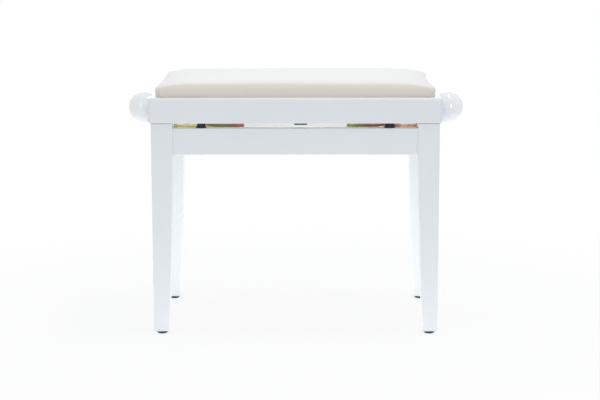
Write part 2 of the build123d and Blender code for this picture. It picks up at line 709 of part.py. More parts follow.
# Plywood panel let into the frame, flush with its top
with BuildPart() as seat_panel:
    with BuildSketch(Plane.XY.offset(panel_bottom)):
        Rectangle(2 * (ledge_x - PANEL_CLEARANCE), 2 * (ledge_y - PANEL_CLEARANCE))
    extrude(amount=PANEL_THICKNESS)
    for side_x in (-1, 1):
        for side_y in (-1, 1):
            with Locations((side_x * CUSHION_SCREW_X, side_y * CUSHION_SCREW_Y, seat_top)):
                Hole(SCREW_DIAMETER / 2 + FASTENER_CLEARANCE, PANEL_THICKNESS)
            for x in panel_screw_xs:
                with Locations((side_x * x, side_y * panel_screw_y, seat_top)):
                    Hole(SCREW_DIAMETER / 2 + FASTENER_CLEARANCE, PANEL_THICKNESS)
                    Hole(SCREW_HEAD_DIAMETER / 2 + FASTENER_CLEARANCE, SCREW_HEAD_HEIGHT)
            for x in guide_screw_xs:
                screw_hole(
                    Plane(origin=(side_x * x, side_y * guide_screw_y, panel_bottom), z_dir=(0, 0, 1)),
                    GUIDE_SCREW_GRIP,
                )
save(seat_panel.part, "seat_panel")

with BuildPart() as panel_screws:
    for plane in panel_screw_planes:
        wood_screw(plane, panel_screw_length)
    mirror(about=Plane.YZ)
    mirror(about=Plane.XZ)
save(panel_screws.part, "panel_screws")

# Guide rails under the panel: angle section, slotted for the nut bars, drilled for the pivots
with BuildPart() as guide_rail_rear:
    with BuildSketch(Plane.YZ):
        with BuildLine():
            FilletPolyline(
                (plate_outer_y - SHEET / 2, spindle_z - GUIDE_FLANGE_BELOW_SPINDLE),
                (plate_outer_y - SHEET / 2, guide_top - SHEET / 2),
                (guide_flange_inner_y, guide_top - SHEET / 2),
                radius=SHEET_BEND_RADIUS,
            )
        trace(line_width=SHEET)
    extrude(amount=guide_half_length)
    with BuildSketch(Plane.XZ.offset(-plate_inner_y)):
        with Locations((slot_x, spindle_z)):
            SlotCenterToCenter(slot_length, slot_width)
        with Locations((outer_pivot_x, spindle_z)):
            Circle(pivot_hole_radius)
    extrude(amount=-SHEET, mode=Mode.SUBTRACT)
    for plane in guide_screw_planes:
        screw_hole(plane, SHEET)
    mirror(about=Plane.YZ)
save(guide_rail_rear.part, "guide_rail_rear")

with BuildPart() as guide_rail_front:
    mirror(guide_rail_rear.part, about=Plane.XZ)
save(guide_rail_front.part, "guide_rail_front")

with BuildPart() as guide_rail_screws:
    for plane in guide_screw_planes:
        wood_screw(plane, SHEET + GUIDE_SCREW_GRIP)
    mirror(about=Plane.YZ)
    mirror(about=Plane.XZ)
save(guide_rail_screws.part, "guide_rail_screws")

# Shouldered pins that carry the seat on the upper ends of the brace arms
with BuildPart() as seat_pivot_pins:
    turned_steps(
        outer_pivot_x,
        spindle_z,
        (
            (plate_outer_y, plate_outer_y + PIVOT_HEAD_HEIGHT, PIVOT_HEAD_DIAMETER / 2),
            (brace_arm_inner_y - SIDE_PLAY, plate_outer_y, pivot_radius),
            (brace_arm_outer_y + SIDE_PLAY, plate_inner_y, PIVOT_SHOULDER_DIAMETER / 2),
            (
                brace_arm_inner_y - SIDE_PLAY - PIVOT_HEAD_HEIGHT,
                brace_arm_inner_y - SIDE_PLAY,
                PIVOT_HEAD_DIAMETER / 2,
            ),
        ),
    )
    mirror(about=Plane.YZ)
    mirror(about=Plane.XZ)
save(seat_pivot_pins.part, "seat_pivot_pins")

# Spindle with stepped ends, its bushes in the side rails and the ball knobs
spindle_shoulder_x = rail_inner_x - SPINDLE_END_PLAY
knob_neck_x = SEAT_WIDTH / 2 + BUSH_FLANGE + SPINDLE_END_PLAY
knob_x = knob_neck_x + KNOB_NECK_INSET
knob_neck_radius = math.sqrt(KNOB_RADIUS**2 - KNOB_NECK_INSET**2)
spindle_end_x = knob_neck_x + KNOB_GRIP
spindle_axis = Axis((0, 0, spindle_z), (1, 0, 0))
with BuildPart() as spindle:
    with BuildSketch(Plane.XZ):
        with BuildLine():
            Polyline(
                (0, spindle_z),
                (0, spindle_z + SPINDLE_DIAMETER / 2),
                (spindle_shoulder_x, spindle_z + SPINDLE_DIAMETER / 2),
                (spindle_shoulder_x, spindle_z + SPINDLE_END_DIAMETER / 2),
                (spindle_end_x - SPINDLE_CHAMFER, spindle_z + SPINDLE_END_DIAMETER / 2),
                (spindle_end_x, spindle_z + SPINDLE_END_DIAMETER / 2 - SPINDLE_CHAMFER),
                (spindle_end_x, spindle_z),
                close=True,
            )
        make_face()
    revolve(axis=spindle_axis)
    mirror(about=Plane.YZ)
save(spindle.part, "spindle")

with BuildPart() as spindle_bushes:
    with Locations(Plane(origin=(rail_inner_x, 0, spindle_z), z_dir=(1, 0, 0))):
        Cylinder(BUSH_DIAMETER / 2, SEAT_RAIL_WIDTH, align=(Align.CENTER, Align.CENTER, Align.MIN))
    with Locations(Plane(origin=(SEAT_WIDTH / 2, 0, spindle_z), z_dir=(1, 0, 0))):
        Cylinder(BUSH_FLANGE_DIAMETER / 2, BUSH_FLANGE, align=(Align.CENTER, Align.CENTER, Align.MIN))
        Hole(SPINDLE_END_DIAMETER / 2 + SPINDLE_CLEARANCE)
    mirror(about=Plane.YZ)
save(spindle_bushes.part, "spindle_bushes")

knob_bore_radius = SPINDLE_END_DIAMETER / 2 + SPINDLE_CLEARANCE
knob_bore_end_x = spindle_end_x + KNOB_BORE_END_GAP
with BuildPart() as knob_right:
    with BuildSketch(Plane.XZ):
        with BuildLine():
            Polyline(
                (knob_x + KNOB_RADIUS, spindle_z),
                (knob_bore_end_x, spindle_z),
                (knob_bore_end_x, spindle_z + knob_bore_radius),
                (knob_neck_x, spindle_z + knob_bore_radius),
                (knob_neck_x, spindle_z + knob_neck_radius),
            )
            ThreePointArc(
                (knob_neck_x, spindle_z + knob_neck_radius),
                (knob_x, spindle_z + KNOB_RADIUS),
                (knob_x + KNOB_RADIUS, spindle_z),
            )
        make_face()
    revolve(axis=spindle_axis)
save(knob_right.part, "knob_right")

with BuildPart() as knob_left:
    mirror(knob_right.part, about=Plane.YZ)
save(knob_left.part, "knob_left")

# Cushion: crowned velour cover drawn in under its edges, over foam on a thin board
with BuildPart() as cushion_form:
    for share, ends_in, sides_in, corner_radius in CUSHION_LEVELS:
        with BuildSketch(Plane.XY.offset(seat_top + share * CUSHION_HEIGHT)):
            RectangleRounded(CUSHION_WIDTH - 2 * ends_in, CUSHION_DEPTH - 2 * sides_in, corner_radius)
    loft(ruled=True)

filling_height = CUSHION_HEIGHT - 2 * COVER_THICKNESS
with BuildPart() as filling_form:
    for share, ends_in, sides_in, corner_radius in CUSHION_LEVELS:
        with BuildSketch(Plane.XY.offset(board_bottom + share * filling_height)):
            RectangleRounded(
                CUSHION_WIDTH - 2 * (ends_in + COVER_THICKNESS),
                CUSHION_DEPTH - 2 * (sides_in + COVER_THICKNESS),
                corner_radius - COVER_THICKNESS,
            )
    loft(ruled=True)

bottom_ends_in = CUSHION_LEVELS[0][1]
bottom_sides_in = CUSHION_LEVELS[0][2]
bottom_width = CUSHION_WIDTH - 2 * bottom_ends_in
bottom_depth = CUSHION_DEPTH - 2 * bottom_sides_in
with BuildPart() as cushion_cover:
    add(cushion_form.part)
    add(filling_form.part, mode=Mode.SUBTRACT)
    with BuildSketch(Plane.XY.offset(seat_top)):
        Rectangle(bottom_width - 2 * COVER_TURN_UNDER, bottom_depth - 2 * COVER_TURN_UNDER)
    extrude(amount=COVER_THICKNESS, mode=Mode.SUBTRACT)
save(cushion_cover.part, "cushion_cover")

board_margin = COVER_THICKNESS + FOAM_EDGE
with BuildPart() as board_blank:
    with BuildSketch(Plane.XY.offset(board_bottom)):
        Rectangle(bottom_width - 2 * board_margin, bottom_depth - 2 * board_margin)
    extrude(amount=BOARD_THICKNESS)

with BuildPart() as cushion_board:
    add(board_blank.part)
    for side_x in (-1, 1):
        for side_y in (-1, 1):
            screw_place = (side_x * CUSHION_SCREW_X, side_y * CUSHION_SCREW_Y, board_bottom)
            screw_hole(Plane(origin=screw_place, z_dir=(0, 0, 1)), CUSHION_SCREW_GRIP)
save(cushion_board.part, "cushion_board")

with BuildPart() as cushion_foam:
    add(filling_form.part)
    add(board_blank.part, mode=Mode.SUBTRACT)
save(cushion_foam.part, "cushion_foam")

with BuildPart() as cushion_screws:
    wood_screw(cushion_screw_plane, cushion_screw_length)
    mirror(about=Plane.YZ)
    mirror(about=Plane.XZ)
save(cushion_screws.part, "cushion_screws")

# Felt pad under the front rail, near its middle
with BuildPart() as felt_pad:
    with BuildSketch(Plane.XY.offset(seat_bottom)):
        with Locations((FELT_X, -SEAT_DEPTH / 2 + FELT_SETBACK + FELT_DEPTH / 2)):
            Rectangle(FELT_WIDTH, FELT_DEPTH)
    extrude(amount=-FELT_THICKNESS)
save(felt_pad.part, "felt_pad")
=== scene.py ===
"""Dressing of a height-adjustable piano bench.

The packed solids are loaded as a fixed frame. Each operator finishes one piece or one group of
like pieces: lacquer on the timber, a velour cushion, plated lift parts, threads and screw heads.
Metres, +Z up, front towards -Y, in the same frame as the solids.
"""

import json
import math

import bmesh
import bpy
import numpy as np
from bpy.props import FloatProperty, FloatVectorProperty, IntProperty, PointerProperty
from mathutils import Matrix, Vector, noise
from mathutils.kdtree import KDTree

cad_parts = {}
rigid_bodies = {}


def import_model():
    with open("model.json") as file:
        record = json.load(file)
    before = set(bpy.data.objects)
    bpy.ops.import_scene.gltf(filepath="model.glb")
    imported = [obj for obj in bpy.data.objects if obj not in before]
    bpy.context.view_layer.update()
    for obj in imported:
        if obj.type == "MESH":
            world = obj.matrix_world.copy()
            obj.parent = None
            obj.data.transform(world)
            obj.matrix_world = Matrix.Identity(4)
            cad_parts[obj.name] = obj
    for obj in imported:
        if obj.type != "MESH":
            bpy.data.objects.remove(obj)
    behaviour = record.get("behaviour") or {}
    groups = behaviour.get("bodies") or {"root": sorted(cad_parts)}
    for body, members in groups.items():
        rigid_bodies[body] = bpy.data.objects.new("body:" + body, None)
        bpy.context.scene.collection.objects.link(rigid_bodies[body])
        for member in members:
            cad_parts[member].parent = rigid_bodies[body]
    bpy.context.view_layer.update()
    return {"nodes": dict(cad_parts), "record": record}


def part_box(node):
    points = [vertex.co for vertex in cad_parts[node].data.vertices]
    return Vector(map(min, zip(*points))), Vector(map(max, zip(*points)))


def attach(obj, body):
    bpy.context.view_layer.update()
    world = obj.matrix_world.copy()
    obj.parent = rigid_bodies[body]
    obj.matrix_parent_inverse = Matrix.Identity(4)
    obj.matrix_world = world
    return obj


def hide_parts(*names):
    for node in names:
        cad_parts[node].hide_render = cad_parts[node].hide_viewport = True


bl_info = {
    "name": "Piano bench dressing",
    "version": (1, 0, 0),
    "blender": (4, 5, 0),
    "location": "3D View > Sidebar > Piano bench",
    "description": "Finishes, cushion and small hardware of an adjustable piano bench",
    "category": "Object",
}

# The start-up objects make way before the solids come in
for leftover in list(bpy.data.objects):
    bpy.data.objects.remove(leftover)
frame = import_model()

MM = 0.001
# Corners closer than this are one corner
TOUCHING = 1e-6
WHITE = (1.0, 1.0, 1.0, 1.0)
NODES_BY_SLOT = {}
for subpart in frame["record"]["subparts"]:
    NODES_BY_SLOT.setdefault(subpart["material_slot"], []).append(subpart["node"])


# Settings


def colour_of(name, description, default):
    """A setting for a colour."""
    return FloatVectorProperty(
        name=name, description=description, default=default, subtype="COLOR", size=3, min=0.0, max=1.0,
    )


def length_of(name, description, default, least=0.0):
    """A setting for a length in metres."""
    return FloatProperty(
        name=name, description=description, default=default, subtype="DISTANCE", unit="LENGTH", min=least,
    )


def watts_of(name, description, default):
    """A setting for the power of a lamp in watts."""
    return FloatProperty(name=name, description=description, default=default, unit="POWER", min=0.0)


class LacquerSettings(bpy.types.PropertyGroup):
    """Paint on the timber and on the knobs."""

    white: colour_of("White lacquer", "Satin paint of legs, aprons and seat frame", (0.72, 0.748, 0.762))
    # Edge colour: lighter than the lacquer, a painted highlight along the edges; its width is set below.
    wear_and_highlight: colour_of("Rubbed edge", "Thinner paint where hands and shoes rub the edges", (0.79, 0.79, 0.77))
    # Joint colour: painted shade, a grey laid into the narrow joints where ambient occlusion finds little
    # open space.
    joint: colour_of("Joint", "Dusty grey in the narrow joints between the pieces", (0.36, 0.37, 0.39))
    knob_white: colour_of("Knob lacquer", "Polished paint of the two ball knobs", (0.83, 0.855, 0.872))
    peel_size: length_of("Orange peel", "Distance between the ripples of the paint", 0.0028, least=0.0005)
    highlight_width: length_of("Rub width", "Width of the rubbed band along an edge", 0.0016, least=0.0002)


class CushionSettings(bpy.types.PropertyGroup):
    """The velour cushion."""

    velour: colour_of("Velour", "Colour of the cream pile", (0.71, 0.663, 0.585))
    # Crown, brow and shoulder are painted light and shade by slope: paler on top and darker where the cover
    # turns over its edge, as the light falls; the pile itself is one colour.
    crown: colour_of("Crown", "Paler pile on the crown, where it is brushed flat", (0.912, 0.878, 0.812))
    brow_painted_light: colour_of("Brow", "Warmer pile where the crown begins to fall", (0.802, 0.748, 0.666))
    shoulder: colour_of(
        "Shoulder", "Darker pile that opens where the cover turns over its edge", (0.675, 0.628, 0.552),
    )
    pile_pitch: length_of("Pile pitch", "Distance between tufts of the pile", 0.0009, least=0.0002)
    slack: length_of("Slack", "How much smaller the cover starts before it is blown up", 0.0012)
    swell: length_of("Swell", "Furthest that a point of the cover may move as it fills", 0.0012)
    voxel: length_of("Cloth cell", "Cell size of the cloth that is blown up", 0.005, least=0.003)
    pleat_depth: length_of("Pleat depth", "Depth of the folded pleat at each corner", 0.0011)
    pressure: FloatProperty(
        name="Filling pressure", description="Pressure of the filling on the cover", min=0.0, default=4.0,
    )
    frames: IntProperty(
        name="Filling steps", description="Steps for which the cover is blown up", min=2, default=20,
    )
    smoothing: IntProperty(
        name="Smoothing", description="Passes that even out the swelling", min=0, default=30,
    )


class MetalSettings(bpy.types.PropertyGroup):
    """Plated and bright metal parts."""

    steel: colour_of("Bright steel", "Zinc-bright screws, spindle and bolts", (0.60, 0.61, 0.62))
    spindle_lead: length_of("Spindle lead", "Travel of a nut in one turn of the knob", 0.004, least=0.001)
    spindle_thread_depth: length_of(
        "Spindle thread depth", "Height of the spindle's thread", 0.0012, least=0.0002,
    )
    bolt_pitch: length_of("Bolt pitch", "Thread pitch of the leg bolts", 0.00125, least=0.0005)


class SmallPartSettings(bpy.types.PropertyGroup):
    """Bare timber, rubber, plastic and felt."""

    beech: colour_of("Beech", "Pale colour of the corner blocks", (0.60, 0.42, 0.24))
    plywood: colour_of("Plywood", "Whitewashed veneer of the seat panel", (0.74, 0.70, 0.63))
    rubber: colour_of("Rubber", "Black of the buffers", (0.014, 0.015, 0.017))
    plastic: colour_of("Black plastic", "Black of the foot glides", (0.035, 0.036, 0.038))
    nylon: colour_of("Nylon", "Natural nylon of the spindle bushes", (0.72, 0.70, 0.64))
    felt: colour_of("Felt", "Dark felt of the pad under the front rail", (0.018, 0.018, 0.02))


class StageSettings(bpy.types.PropertyGroup):
    """Camera, floor and lamps."""

    camera_place: FloatVectorProperty(
        name="Camera place", description="Where the camera stands", subtype="TRANSLATION",
        unit="LENGTH", size=3, default=(0.0272147, -3.2093013, 0.8078436),
    )
    camera_turn: FloatVectorProperty(
        name="Camera turn", description="Turn of the camera about X, Y and Z", subtype="EULER",
        unit="ROTATION", size=3,
        default=(math.radians(79.843928), math.radians(0.087784), math.radians(0.332221)),
    )
    lens: FloatProperty(
        name="Lens", description="Focal length in millimetres on a 36 mm wide sensor", unit="CAMERA",
        default=98.5437,
    )
    floor: colour_of("Floor", "Colour of the paper floor", (0.87, 0.885, 0.92))
    sky: colour_of("Room light", "Colour of the soft light from all round", (0.97, 0.985, 1.0))
    table_colour: colour_of("Table light", "Colour of the light up through the paper", (0.93, 0.955, 1.0))
    sky_strength: FloatProperty(
        name="Room light strength", description="Level of the light from all round", min=0.0, default=0.62,
    )
    top_power: watts_of("Top lamp", "Power of the wide soft lamp overhead", 13.5)
    spark_power: watts_of("Spark lamp", "Power of the small lamp overhead that glints on the knobs", 7.0)
    back_power: watts_of("Back lamp", "Power of the wide lamp behind the bench", 11.0)
    side_power: watts_of("Side lamps", "Power of each tall lamp beside the camera", 8.0)
    table_power: watts_of("Table lamp", "Power of the light that comes up through the paper", 0.6)
    paper_power: watts_of("Paper lamp", "Power of the faint light that the wide paper sends up", 3.6)
    foot_power: watts_of("Foot lamp", "Power of the light that the paper round the feet sends up", 0.75)
    inner_power: watts_of("Inner lamp", "Power of the soft light between the legs", 0.2)
    gap_power: watts_of("Gap lamp", "Power of the slim light along the gap under the seat", 0.034)


# Node helpers


def place(tree, kind, inputs=None, **settings):
    """A node with its settings, whose inputs take a value or another node's output."""
    made = tree.nodes.new(kind)
    for key, value in settings.items():
        setattr(made, key, value)
    for key, value in (inputs or {}).items():
        if isinstance(value, bpy.types.NodeSocket):
            tree.links.new(value, made.inputs[key])
        else:
            made.inputs[key].default_value = value
    return made


def calc(tree, operation, first, second=0.0, third=0.0):
    """The result of a Math node."""
    return place(tree, "ShaderNodeMath", {0: first, 1: second, 2: third}, operation=operation).outputs[0]


def swing(tree, value, amount):
    """A noise value from 0 to 1 as a swing of the given size about zero."""
    return calc(tree, "MULTIPLY_ADD", value, amount, -0.5 * amount)


def spread(tree, value, low, high, to_low=0.0, to_high=1.0, **settings):
    """A value mapped from one span to another and held there."""
    inputs = {"Value": value, "From Min": low, "From Max": high, "To Min": to_low, "To Max": to_high}
    return place(tree, "ShaderNodeMapRange", inputs, **settings).outputs[0]


def object_place(tree):
    """Places in the piece's own frame, in metres."""
    return place(tree, "ShaderNodeTexCoord").outputs["Object"]


def facing(tree):
    """The direction in which the surface faces."""
    return place(tree, "ShaderNodeNewGeometry").outputs["Normal"]


def split(tree, vector):
    """X, Y and Z of a vector."""
    return place(tree, "ShaderNodeSeparateXYZ", {0: vector}).outputs


def stretched(tree, scale):
    """Places scaled along each axis, for grain and streaks."""
    return place(tree, "ShaderNodeMapping", {"Vector": object_place(tree), "Scale": scale}).outputs[0]


def mottle(tree, vector, scale=1.0, detail=2.0, roughness=0.5, distortion=0.0):
    """Soft noise from 0 to 1."""
    inputs = {
        "Vector": vector, "Scale": scale, "Detail": detail, "Roughness": roughness,
        "Distortion": distortion,
    }
    return place(tree, "ShaderNodeTexNoise", inputs).outputs[0]


def tint(tree, factor, first, second):
    """One colour turning into another."""
    return place(tree, "ShaderNodeMix", {0: factor, 6: first, 7: second}, data_type="RGBA").outputs[2]


def mixed(tree, factor, first, second):
    """One shader turning into another."""
    return place(tree, "ShaderNodeMixShader", {0: factor, 1: first, 2: second}).outputs[0]


def shaded(tree, colour, level):
    """A colour made lighter or darker."""
    return place(tree, "ShaderNodeVectorMath", {0: colour, "Scale": level}, operation="SCALE").outputs[0]


def opaque(colour):
    """A colour with full alpha, as colour sockets take it."""
    return (*colour, 1.0)


def graded(tree, factor, stops):
    """Colours along a scale from 0 to 1."""
    made = place(tree, "ShaderNodeValToRGB", {"Fac": factor})
    elements = made.color_ramp.elements
    while len(elements) < len(stops):
        elements.new(0.5)
    for element, (position, colour) in zip(elements, stops):
        element.position = position
        element.color = opaque(colour)
    return made.outputs["Color"]


SOCKETS = {"value": "NodeSocketFloat", "colour": "NodeSocketColor", "vector": "NodeSocketVector"}


def new_group(name, inputs, outputs):
    """An empty node group with named sockets, and its inner ends."""
    tree = bpy.data.node_groups.new(name, "ShaderNodeTree")
    for in_out, sockets in (("INPUT", inputs), ("OUTPUT", outputs)):
        for label, kind in sockets.items():
            tree.interface.new_socket(label, in_out=in_out, socket_type=SOCKETS[kind])
    return tree, tree.nodes.new("NodeGroupInput").outputs, tree.nodes.new("NodeGroupOutput").inputs


def send(tree, ends, **results):
    """Links a group's results to its output sockets."""
    for label, socket in results.items():
        tree.links.new(socket, ends[label])


# What most skins give
SKIN = {"Colour": "colour", "Roughness": "value", "Height": "value"}


def build_lacquer_skin(name):
    """Sprayed paint: cloudy tone, faint grain below it and orange peel."""
    tree, given, ends = new_group(
        name, {"Colour": "colour", "Roughness": "value", "Grain": "vector", "Peel": "value"}, SKIN,
    )
    here = object_place(tree)
    grain = mottle(tree, stretched(tree, given["Grain"]), detail=3.0, roughness=0.6)
    clouds = mottle(tree, here, scale=9.0)
    peel = mottle(tree, here, given["Peel"], detail=1.0)
    tone = calc(tree, "ADD", swing(tree, clouds, 0.035), swing(tree, grain, 0.03))
    gloss = calc(tree, "ADD", swing(tree, clouds, 0.12), swing(tree, grain, 0.05))
    send(
        tree, ends,
        Colour=shaded(tree, given["Colour"], calc(tree, "ADD", tone, 1.0)),
        Roughness=calc(tree, "ADD", given["Roughness"], gloss),
        Height=calc(tree, "MULTIPLY_ADD", grain, 0.35, peel),
    )
    return tree


def build_edge_wear_and_highlight(name):
    """A mask that is strongest along outer edges, broken up as handling does: wear on the metals and a
    painted highlight on the lacquer.
    """
    tree, given, ends = new_group(name, {"Width": "value", "Amount": "value"}, {"Mask": "value"})
    rounded = place(tree, "ShaderNodeBevel", {"Radius": given["Width"]}, samples=4).outputs[0]
    along = place(tree, "ShaderNodeVectorMath", {0: rounded, 1: facing(tree)}, operation="DOT_PRODUCT")
    edge = spread(tree, along.outputs["Value"], 0.997, 0.86)
    patches = spread(tree, mottle(tree, object_place(tree), scale=55.0, detail=4.0), 0.38, 0.66)
    worn_and_highlit = calc(tree, "MULTIPLY", edge, patches)
    send(tree, ends, Mask=calc(tree, "MULTIPLY", worn_and_highlit, given["Amount"]))
    return tree


def build_joint_shade(name):
    """Painted shade: a mask that is strongest in the narrow joints between pieces, where ambient occlusion
    finds little open space.
    """
    tree, given, ends = new_group(name, {"Reach": "value", "Amount": "value"}, {"Mask": "value"})
    openness = place(tree, "ShaderNodeAmbientOcclusion", {"Distance": given["Reach"]}, samples=8)
    closed = spread(tree, openness.outputs["AO"], 0.72, 0.30)
    send(tree, ends, Mask=calc(tree, "MULTIPLY", closed, given["Amount"]))
    return tree


def build_fibre_nap(name):
    """Short standing fibres: fine tufts, brushed streaks and broad nap marks."""
    tree, given, ends = new_group(
        name,
        {"Colour": "colour", "Pitch": "value", "Contrast": "value"},
        {"Colour": "colour", "Height": "value"},
    )
    here = object_place(tree)
    rate = calc(tree, "DIVIDE", 1.0, given["Pitch"])
    tufts = mottle(tree, here, rate, detail=3.0, roughness=0.65)
    streaks = mottle(tree, stretched(tree, (0.35, 1.0, 1.0)), calc(tree, "MULTIPLY", rate, 0.22))
    marks = mottle(tree, here, scale=11.0, detail=3.0, distortion=0.8)
    fine = calc(tree, "ADD", swing(tree, tufts, 1.0), swing(tree, streaks, 0.5))
    tone = calc(tree, "ADD", fine, swing(tree, marks, 0.9))
    level = calc(tree, "MULTIPLY_ADD", tone, given["Contrast"], 1.0)
    send(
        tree, ends,
        Colour=shaded(tree, given["Colour"], level),
        Height=calc(tree, "MULTIPLY_ADD", streaks, 0.35, tufts),
    )
    return tree


def build_timber_figure(name):
    """Bare wood: growth bands, pores and a change of tone along the board."""
    tree, given, ends = new_group(name, {"Pale": "colour", "Dark": "colour", "Grain": "vector"}, SKIN)
    grown = stretched(tree, given["Grain"])
    bands = mottle(tree, grown, distortion=1.4)
    rings = calc(tree, "PINGPONG", calc(tree, "MULTIPLY", bands, 6.0), 0.5)
    pores = spread(tree, mottle(tree, grown, scale=9.0, detail=4.0, roughness=0.7), 0.52, 0.74)
    figure = calc(tree, "MULTIPLY_ADD", rings, 0.9, calc(tree, "MULTIPLY", pores, 0.55))
    send(
        tree, ends,
        Colour=tint(tree, figure, given["Pale"], given["Dark"]),
        Roughness=spread(tree, figure, 0.0, 1.0, 0.55, 0.75),
        Height=calc(tree, "MULTIPLY_ADD", pores, -0.7, rings),
    )
    return tree


def build_handled_metal(name):
    """Metal from the workshop: smudges, drawn lines and fine scratches."""
    tree, given, ends = new_group(name, {"Colour": "colour", "Roughness": "value", "Lines": "vector"}, SKIN)
    smudge = mottle(tree, object_place(tree), scale=38.0, detail=4.0, roughness=0.6)
    lines = mottle(tree, stretched(tree, given["Lines"]), detail=4.0, roughness=0.7)
    tone = calc(tree, "ADD", swing(tree, smudge, 0.25), swing(tree, lines, 0.18))
    gloss = calc(tree, "ADD", swing(tree, smudge, 0.22), swing(tree, lines, 0.12))
    send(
        tree, ends,
        Colour=shaded(tree, given["Colour"], calc(tree, "ADD", tone, 1.0)),
        Roughness=calc(tree, "ADD", given["Roughness"], gloss),
        Height=lines,
    )
    return tree


def build_moulded_skin(name):
    """Moulded rubber or plastic: fine spark-eroded grain, dust and scuffs."""
    tree, given, ends = new_group(
        name, {"Colour": "colour", "Dust": "colour", "Roughness": "value", "Grain": "value"}, SKIN,
    )
    here = object_place(tree)
    scuffs = spread(tree, mottle(tree, here, scale=130.0, detail=5.0, roughness=0.7), 0.55, 0.8)
    send(
        tree, ends,
        Colour=tint(tree, calc(tree, "MULTIPLY", scuffs, 0.5), given["Colour"], given["Dust"]),
        Roughness=calc(tree, "MULTIPLY_ADD", scuffs, 0.15, given["Roughness"]),
        Height=mottle(tree, here, given["Grain"]),
    )
    return tree


GROUP_BUILDERS = {
    "Lacquer skin": build_lacquer_skin,
    "Rubbed edges": build_edge_wear_and_highlight,
    "Joint shade": build_joint_shade,
    "Fibre nap": build_fibre_nap,
    "Timber figure": build_timber_figure,
    "Handled metal": build_handled_metal,
    "Moulded skin": build_moulded_skin,
}


def effect(tree, name, inputs):
    """Places a shared effect in a material, building it the first time."""
    group = bpy.data.node_groups.get(name) or GROUP_BUILDERS[name](name)
    return place(tree, "ShaderNodeGroup", inputs, node_tree=group).outputs


def new_material(name, constants):
    """A material whose shader carries the values that are the same all over."""
    material = bpy.data.materials.new(name)
    material.use_nodes = True
    shader = material.node_tree.nodes["Principled BSDF"]
    for label, value in constants.items():
        shader.inputs[label].default_value = value
    return material, material.node_tree, shader.inputs


def coat(tree, shader, skin, strength, distance, **instead):
    """Links a skin's colour, roughness and relief to the shader, or what is given instead of them."""
    results = {output.name: output for output in skin}
    results.update(instead)
    bump = {"Height": results["Height"], "Strength": strength, "Distance": distance}
    tree.links.new(place(tree, "ShaderNodeBump", bump).outputs[0], shader["Normal"])
    tree.links.new(results["Colour"], shader["Base Color"])
    if "Roughness" in results:
        tree.links.new(results["Roughness"], shader["Roughness"])


def emptied(owner):
    """The node tree of a material or a world, with no nodes in it."""
    owner.use_nodes = True
    owner.node_tree.nodes.clear()
    return owner.node_tree


# Mesh helpers


def dress(obj, material):
    """Gives a piece one material."""
    obj.data.materials.clear()
    obj.data.materials.append(material)


def dress_nodes(names, material):
    """Gives solids of the frame one material."""
    for name in names:
        dress(frame["nodes"][name], material)


def new_piece(name, mesh_source, body, stands_for, material, sharp_above=35.0):
    """A finished piece that rides on a body and stands for solids of the frame."""
    bmesh.ops.recalc_face_normals(mesh_source, faces=mesh_source.faces)
    mesh = bpy.data.meshes.new(name)
    mesh_source.to_mesh(mesh)
    mesh_source.free()
    mesh.polygons.foreach_set("use_smooth", [True] * len(mesh.polygons))
    mesh.set_sharp_from_angle(angle=math.radians(sharp_above))
    piece = bpy.data.objects.new(name, mesh)
    bpy.context.scene.collection.objects.link(piece)
    dress(piece, material)
    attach(piece, body)
    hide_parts(*stands_for)
    return piece


def solids_of(node):
    """The separate solids in a node, each as an array of its corner points."""
    work = bmesh.new()
    work.from_mesh(frame["nodes"][node].data)
    bmesh.ops.remove_doubles(work, verts=work.verts, dist=TOUCHING)
    unseen = set(work.verts)
    found = []
    while unseen:
        edge_of_search = [unseen.pop()]
        members = []
        while edge_of_search:
            corner = edge_of_search.pop()
            members.append(corner.co[:])
            for link in corner.link_edges:
                other = link.other_vert(corner)
                if other in unseen:
                    unseen.remove(other)
                    edge_of_search.append(other)
        found.append(np.array(members))
    work.free()
    return sorted(found, key=lambda points: tuple(points.mean(axis=0).round(4)))


def axes_along(direction):
    """A turn that takes +X to a direction."""
    return Vector(direction).normalized().to_track_quat("X", "Z").to_matrix().to_4x4()


def add_ring(work, where, along, radii):
    """A ring of corners round +X, one for each radius, moved by a matrix."""
    ring = []
    for step, radius in enumerate(radii):
        angle = math.tau * step / len(radii)
        corner = Vector((along, radius * math.cos(angle), radius * math.sin(angle)))
        ring.append(work.verts.new(where @ corner))
    return ring


def bridge(work, rings):
    """Faces from each closed row of corners to the next."""
    for near, far in zip(rings, rings[1:]):
        for step in range(len(near)):
            after = (step + 1) % len(near)
            work.faces.new((near[step], near[after], far[after], far[step]))


def add_turned(work, where, stations, radius_at, segments):
    """A turned bar along +X with closed ends, moved by a matrix."""
    angles = [math.tau * step / segments for step in range(segments)]
    rings = []
    for along in stations:
        rings.append(add_ring(work, where, along, [radius_at(along, angle) for angle in angles]))
    bridge(work, rings)
    work.faces.new(list(reversed(rings[0])))
    work.faces.new(rings[-1])


# Full heights of a thread that its flank would climb in a whole turn
THREAD_FLANK = 5.2


def thread_height(turn):
    """Share of full height of a trapezoidal thread, through one turn from 0 to 1."""
    return min(1.0, max(0.0, THREAD_FLANK * (0.5 - abs(turn % 1.0 - 0.5))))


def eased(low, high, value):
    """A smooth step from 0 to 1."""
    share = min(1.0, max(0.0, (value - low) / (high - low)))
    return share * share * (3 - 2 * share)


# Timber


